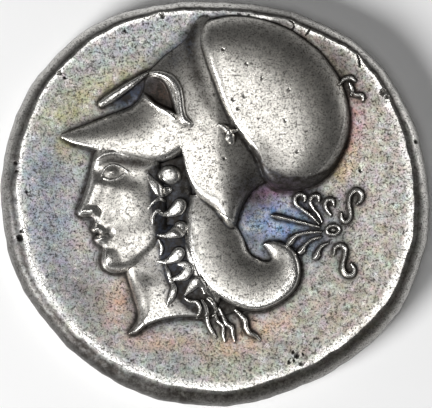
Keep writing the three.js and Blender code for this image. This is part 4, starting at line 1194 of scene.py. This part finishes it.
def toned_silver_with_painted_light(patina):
    """Old struck silver: bright where it stands proud and where highlights are painted, tinted in the fields,
    black-brown in hollows and painted shade, and speckled with fine pits, which are darker, rougher and sunk."""
    material, nodes, shader = new_material("toned silver")
    place = nodes.add("ShaderNodeTexCoord").outputs["Object"]
    relief = nodes.add("ShaderNodeVertexColor", layer_name="relief")
    split = nodes.add("ShaderNodeSeparateColor", {"Color": relief.outputs["Color"]})
    hollow, proud, foot = split.outputs
    raised = relief.outputs["Alpha"]
    tint = nodes.add("ShaderNodeVertexColor", layer_name="tint").outputs["Color"]

    cloud, mottle, scuffs, pits, grain = (
        nodes.noise(place, *each) for each in (CLOUD, MOTTLE, SCUFFS, FINE_PITS, GRAIN)
    )

    colour = nodes.mix(nodes.range(mottle, 0.34, 0.62, 0.15, 1.0), tuple(patina.field), tint)
    colour = nodes.mix(0.4, colour, nodes.noise(place, *COLOURS, "Color"), "SOFT_LIGHT")
    colour = nodes.mix(nodes.math("MULTIPLY", raised, 0.9), colour, tuple(patina.silver))
    # worn colour where proud, which also paints the highlights
    colour = nodes.mix(nodes.range(proud, 0.05, 0.6, 0.0, 0.9), colour, tuple(patina.worn))
    dark = nodes.mix(nodes.range(scuffs, 0.44, 0.70, 0.0, 0.26), tuple(patina.dark), tint)
    colour = nodes.mix(nodes.range(foot, 0.1, 1.0, 0.0, 0.12), colour, dark)
    colour = nodes.mix(nodes.range(scuffs, 0.35, 0.65, 0.28, 0.0), colour, dark)
    colour = nodes.mix(nodes.range(grain, 0.30, 0.46, 0.75, 0.0), colour, dark)
    shade = nodes.math("ADD", hollow, nodes.range(cloud, 0.35, 0.75, -0.08, 0.1))
    # dark toning in hollows, which also paints the shade
    colour = nodes.mix(nodes.range(shade, 0.04, 0.9, 0.0, 0.97), colour, dark)
    speck = nodes.range(pits, 0.54, 0.62, 0.0, patina.speckle, smooth=True)
    speck = nodes.math("MULTIPLY", speck, nodes.range(mottle, 0.34, 0.58, 0.3, 1.0))
    colour = nodes.mix(speck, colour, dark)
    nodes.set(shader.inputs["Base Color"], colour)

    rough = nodes.math("ADD", patina.roughness, nodes.range(mottle, 0.3, 0.7, -0.05, 0.08))
    rough = nodes.math("ADD", rough, nodes.math("MULTIPLY", hollow, 0.2))
    rough = nodes.math("SUBTRACT", rough, nodes.math("MULTIPLY", proud, 0.10))
    rough = nodes.math("ADD", rough, nodes.math("MULTIPLY", speck, 0.2), clamp=True)
    nodes.set(shader.inputs["Roughness"], rough)
    nodes.set(shader.inputs["Metallic"], nodes.range(shade, 0.3, 1.0, 0.92, 0.7))
    height = nodes.math("SUBTRACT", nodes.math("MULTIPLY", grain, 0.6), nodes.math("MULTIPLY", speck, 0.8))
    height = nodes.math("ADD", height, nodes.math("MULTIPLY", scuffs, 1.2))
    bump = nodes.add("ShaderNodeBump", {"Height": height, "Strength": 0.12, "Distance": PIT_DEPTH})
    nodes.set(shader.inputs["Normal"], bump.outputs[0])
    return material


def table_paint(colour):
    """Plain matt paint with the faintest unevenness."""
    material, nodes, shader = new_material("matt table")
    place = nodes.add("ShaderNodeTexCoord").outputs["Object"]
    shade = nodes.range(nodes.noise(place, 60, 3), 0.3, 0.7, 0.97, 1.0)
    nodes.set(shader.inputs["Base Color"], nodes.mix(1.0, tuple(colour), shade, "MULTIPLY"))
    shader.inputs["Roughness"].default_value = 0.85
    return material


# What a user can change

def colour_property(name, description, default):
    """A colour that a user can change."""
    looks = {"subtype": "COLOR", "size": 3, "min": 0, "max": 1}
    return bpy.props.FloatVectorProperty(name=name, description=description, default=default, **looks)


def number_property(name, description, default, **limits):
    """A number that a user can change, from 0 up unless its limits say otherwise."""
    limits = {"min": 0, **limits}
    return bpy.props.FloatProperty(name=name, description=description, default=default, **limits)


class StaterRelief(bpy.types.PropertyGroup):
    """How finely the relief is kept"""

    fineness: number_property(
        "Fineness", "How far the mesh may stray from the relief, in squares", 0.115, min=0.005, max=0.5
    )


class StaterPatina(bpy.types.PropertyGroup):
    """The colours and the dullness of the silver"""

    field: colour_property("Field", "Colour of the flat field under its toning", (0.34, 0.335, 0.32))
    silver: colour_property("Silver", "Colour of the raised forms' metal", (0.81, 0.78, 0.72))
    # the worn colour also paints the highlights
    worn: colour_property("Worn silver", "Colour of the metal where it is rubbed bright", (0.95, 0.93, 0.885))
    # the dark toning colour also paints the shade
    dark: colour_property("Dark toning", "Colour of the toning in hollows and pits", (0.017, 0.013, 0.010))
    speckle: number_property("Speckle", "How strong the fine dark pits are", 0.75, max=1, subtype="FACTOR")
    roughness: number_property("Roughness", "How dull the field is", 0.29, min=0.05, max=1, subtype="FACTOR")


class StaterStage(bpy.types.PropertyGroup):
    """The table, the lights and the room"""

    table: colour_property("Table", "Colour of the table", (0.93, 0.93, 0.93))
    key: number_property("Key light", "Power of the low light", 0.72, unit="POWER")
    fill: number_property("Fill light", "Power of the overhead light", 0.13, unit="POWER")
    side: number_property("Side light", "Power of the weak light from the right", 0.08, unit="POWER")
    surround: number_property("Surround", "Brightness of the room overhead", 0.03)
    horizon: number_property("Horizon", "Brightness of the room's walls", 0.40)


# Pieces and stage

class STATER_OT_strike(bpy.types.Operator):
    """Strike the coin: both sides' relief on one closed mesh that replaces the frame's solid"""

    bl_idname = "stater.strike"
    bl_label = "Strike the coin"

    def execute(self, context):
        scene = context.scene
        head, head_blank = head_side()
        horse, horse_blank = horse_side()
        points, faces, normals, on_head = coin_surface(head, horse, scene.stater_relief.fineness)
        mesh = new_mesh("struck stater", points, faces, normals)
        paint_attributes(mesh, points, on_head, (head, head_blank, TINTS), (horse, horse_blank, []))
        mesh.materials.append(toned_silver_with_painted_light(scene.stater_patina))
        coin = bpy.data.objects.new("struck_stater", mesh)
        scene.collection.objects.link(coin)
        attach(coin, "root")
        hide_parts("stater")
        return {"FINISHED"}


# The soft lights: how wide and how far off they are, in metres, and their azimuth from the picture's right,
# counted over its top, and elevation, in degrees
LIGHTS = {"key": (0.12, 0.25, 214, 41), "fill": (0.11, 0.30, 205, 85), "side": (0.16, 0.30, 15, 12)}
TABLE_HALF = 0.6
ROOM_DIMS = (0.15, 0.55)  # from where to where up, as the upward part of a look, the room grows dim


def soft_light(scene, name, power):
    """A round light that looks at the coin's middle."""
    size, distance, azimuth, elevation = LIGHTS[name]
    a, e = np.radians(azimuth), np.radians(elevation)
    lamp = bpy.data.lights.new(name, "AREA")
    lamp.shape, lamp.size, lamp.energy = "DISK", size, power
    light = bpy.data.objects.new(name, lamp)
    light.location = Vector((np.cos(a) * np.cos(e), np.sin(a) * np.cos(e), np.sin(e))) * distance
    light.rotation_euler = (-light.location).to_track_quat("-Z", "Y").to_euler()
    scene.collection.objects.link(light)


class STATER_OT_stage(bpy.types.Operator):
    """Set up the table, the soft lights, the room and the camera that looks straight down"""

    bl_idname = "stater.stage"
    bl_label = "Set the stage"

    def execute(self, context):
        scene = context.scene
        stage = scene.stater_stage
        corners = [(x * TABLE_HALF, y * TABLE_HALF, 0) for x, y in ((-1, -1), (1, -1), (1, 1), (-1, 1))]
        table = bpy.data.meshes.new("table")
        table.from_pydata(corners, [], [(0, 1, 2, 3)])
        table.materials.append(table_paint(stage.table))
        floor = bpy.data.objects.new("table", table)
        scene.collection.objects.link(floor)
        floor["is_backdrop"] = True

        for name in LIGHTS:
            soft_light(scene, name, getattr(stage, name))
        world = bpy.data.worlds.new("room")
        world.use_nodes = True
        nodes, background = Nodes(world.node_tree), world.node_tree.nodes["Background"]
        background.inputs["Color"].default_value = (1, 1, 1, 1)
        look = nodes.add("ShaderNodeTexCoord").outputs["Generated"]
        upward = nodes.add("ShaderNodeSeparateXYZ", {"Vector": look}).outputs["Z"]
        strength = nodes.range(upward, *ROOM_DIMS, stage.horizon, stage.surround, smooth=True)
        nodes.set(background.inputs["Strength"], strength)
        scene.world = world
        scene.view_settings.view_transform = "Standard"

        camera = bpy.data.objects.new("camera", bpy.data.cameras.new("camera"))
        camera.location = (FRAME_OFF, 0, CAMERA_HEIGHT)
        camera.data.lens = camera.data.sensor_width * (CAMERA_HEIGHT - CAD_HIGH[2] * FRAMED_AT) / FRAME_WIDTH
        scene.collection.objects.link(camera)
        scene.camera = camera
        return {"FINISHED"}


class STATER_PT_panel(bpy.types.Panel):
    """What a user can change, and the steps that build the coin and its stage"""

    bl_idname = "STATER_PT_panel"
    bl_label = "Silver stater"
    bl_space_type = "VIEW_3D"
    bl_region_type = "UI"
    bl_category = "Stater"

    def draw(self, context):
        for name in GROUPS:
            box = self.layout.box()
            for field in getattr(context.scene, name).bl_rna.properties:
                if field.identifier not in ("rna_type", "name"):
                    box.prop(getattr(context.scene, name), field.identifier)
        for step in STEPS:
            self.layout.operator(step)


GROUPS = {"stater_relief": StaterRelief, "stater_patina": StaterPatina, "stater_stage": StaterStage}
STEPS = ("stater.strike", "stater.stage")
CLASSES = (*GROUPS.values(), STATER_OT_strike, STATER_OT_stage, STATER_PT_panel)


def register():
    """Makes the classes known and hangs their properties on the scene."""
    for each in CLASSES:
        bpy.utils.register_class(each)
    for name, group in GROUPS.items():
        setattr(bpy.types.Scene, name, bpy.props.PointerProperty(type=group))


def unregister():
    """Undoes what register does."""
    for name in GROUPS:
        delattr(bpy.types.Scene, name)
    for each in reversed(CLASSES):
        bpy.utils.unregister_class(each)


def main():
    """Builds the coin and its stage."""
    register()
    bpy.ops.stater.strike()
    bpy.ops.stater.stage()
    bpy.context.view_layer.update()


if __name__ == "__main__":
    main()
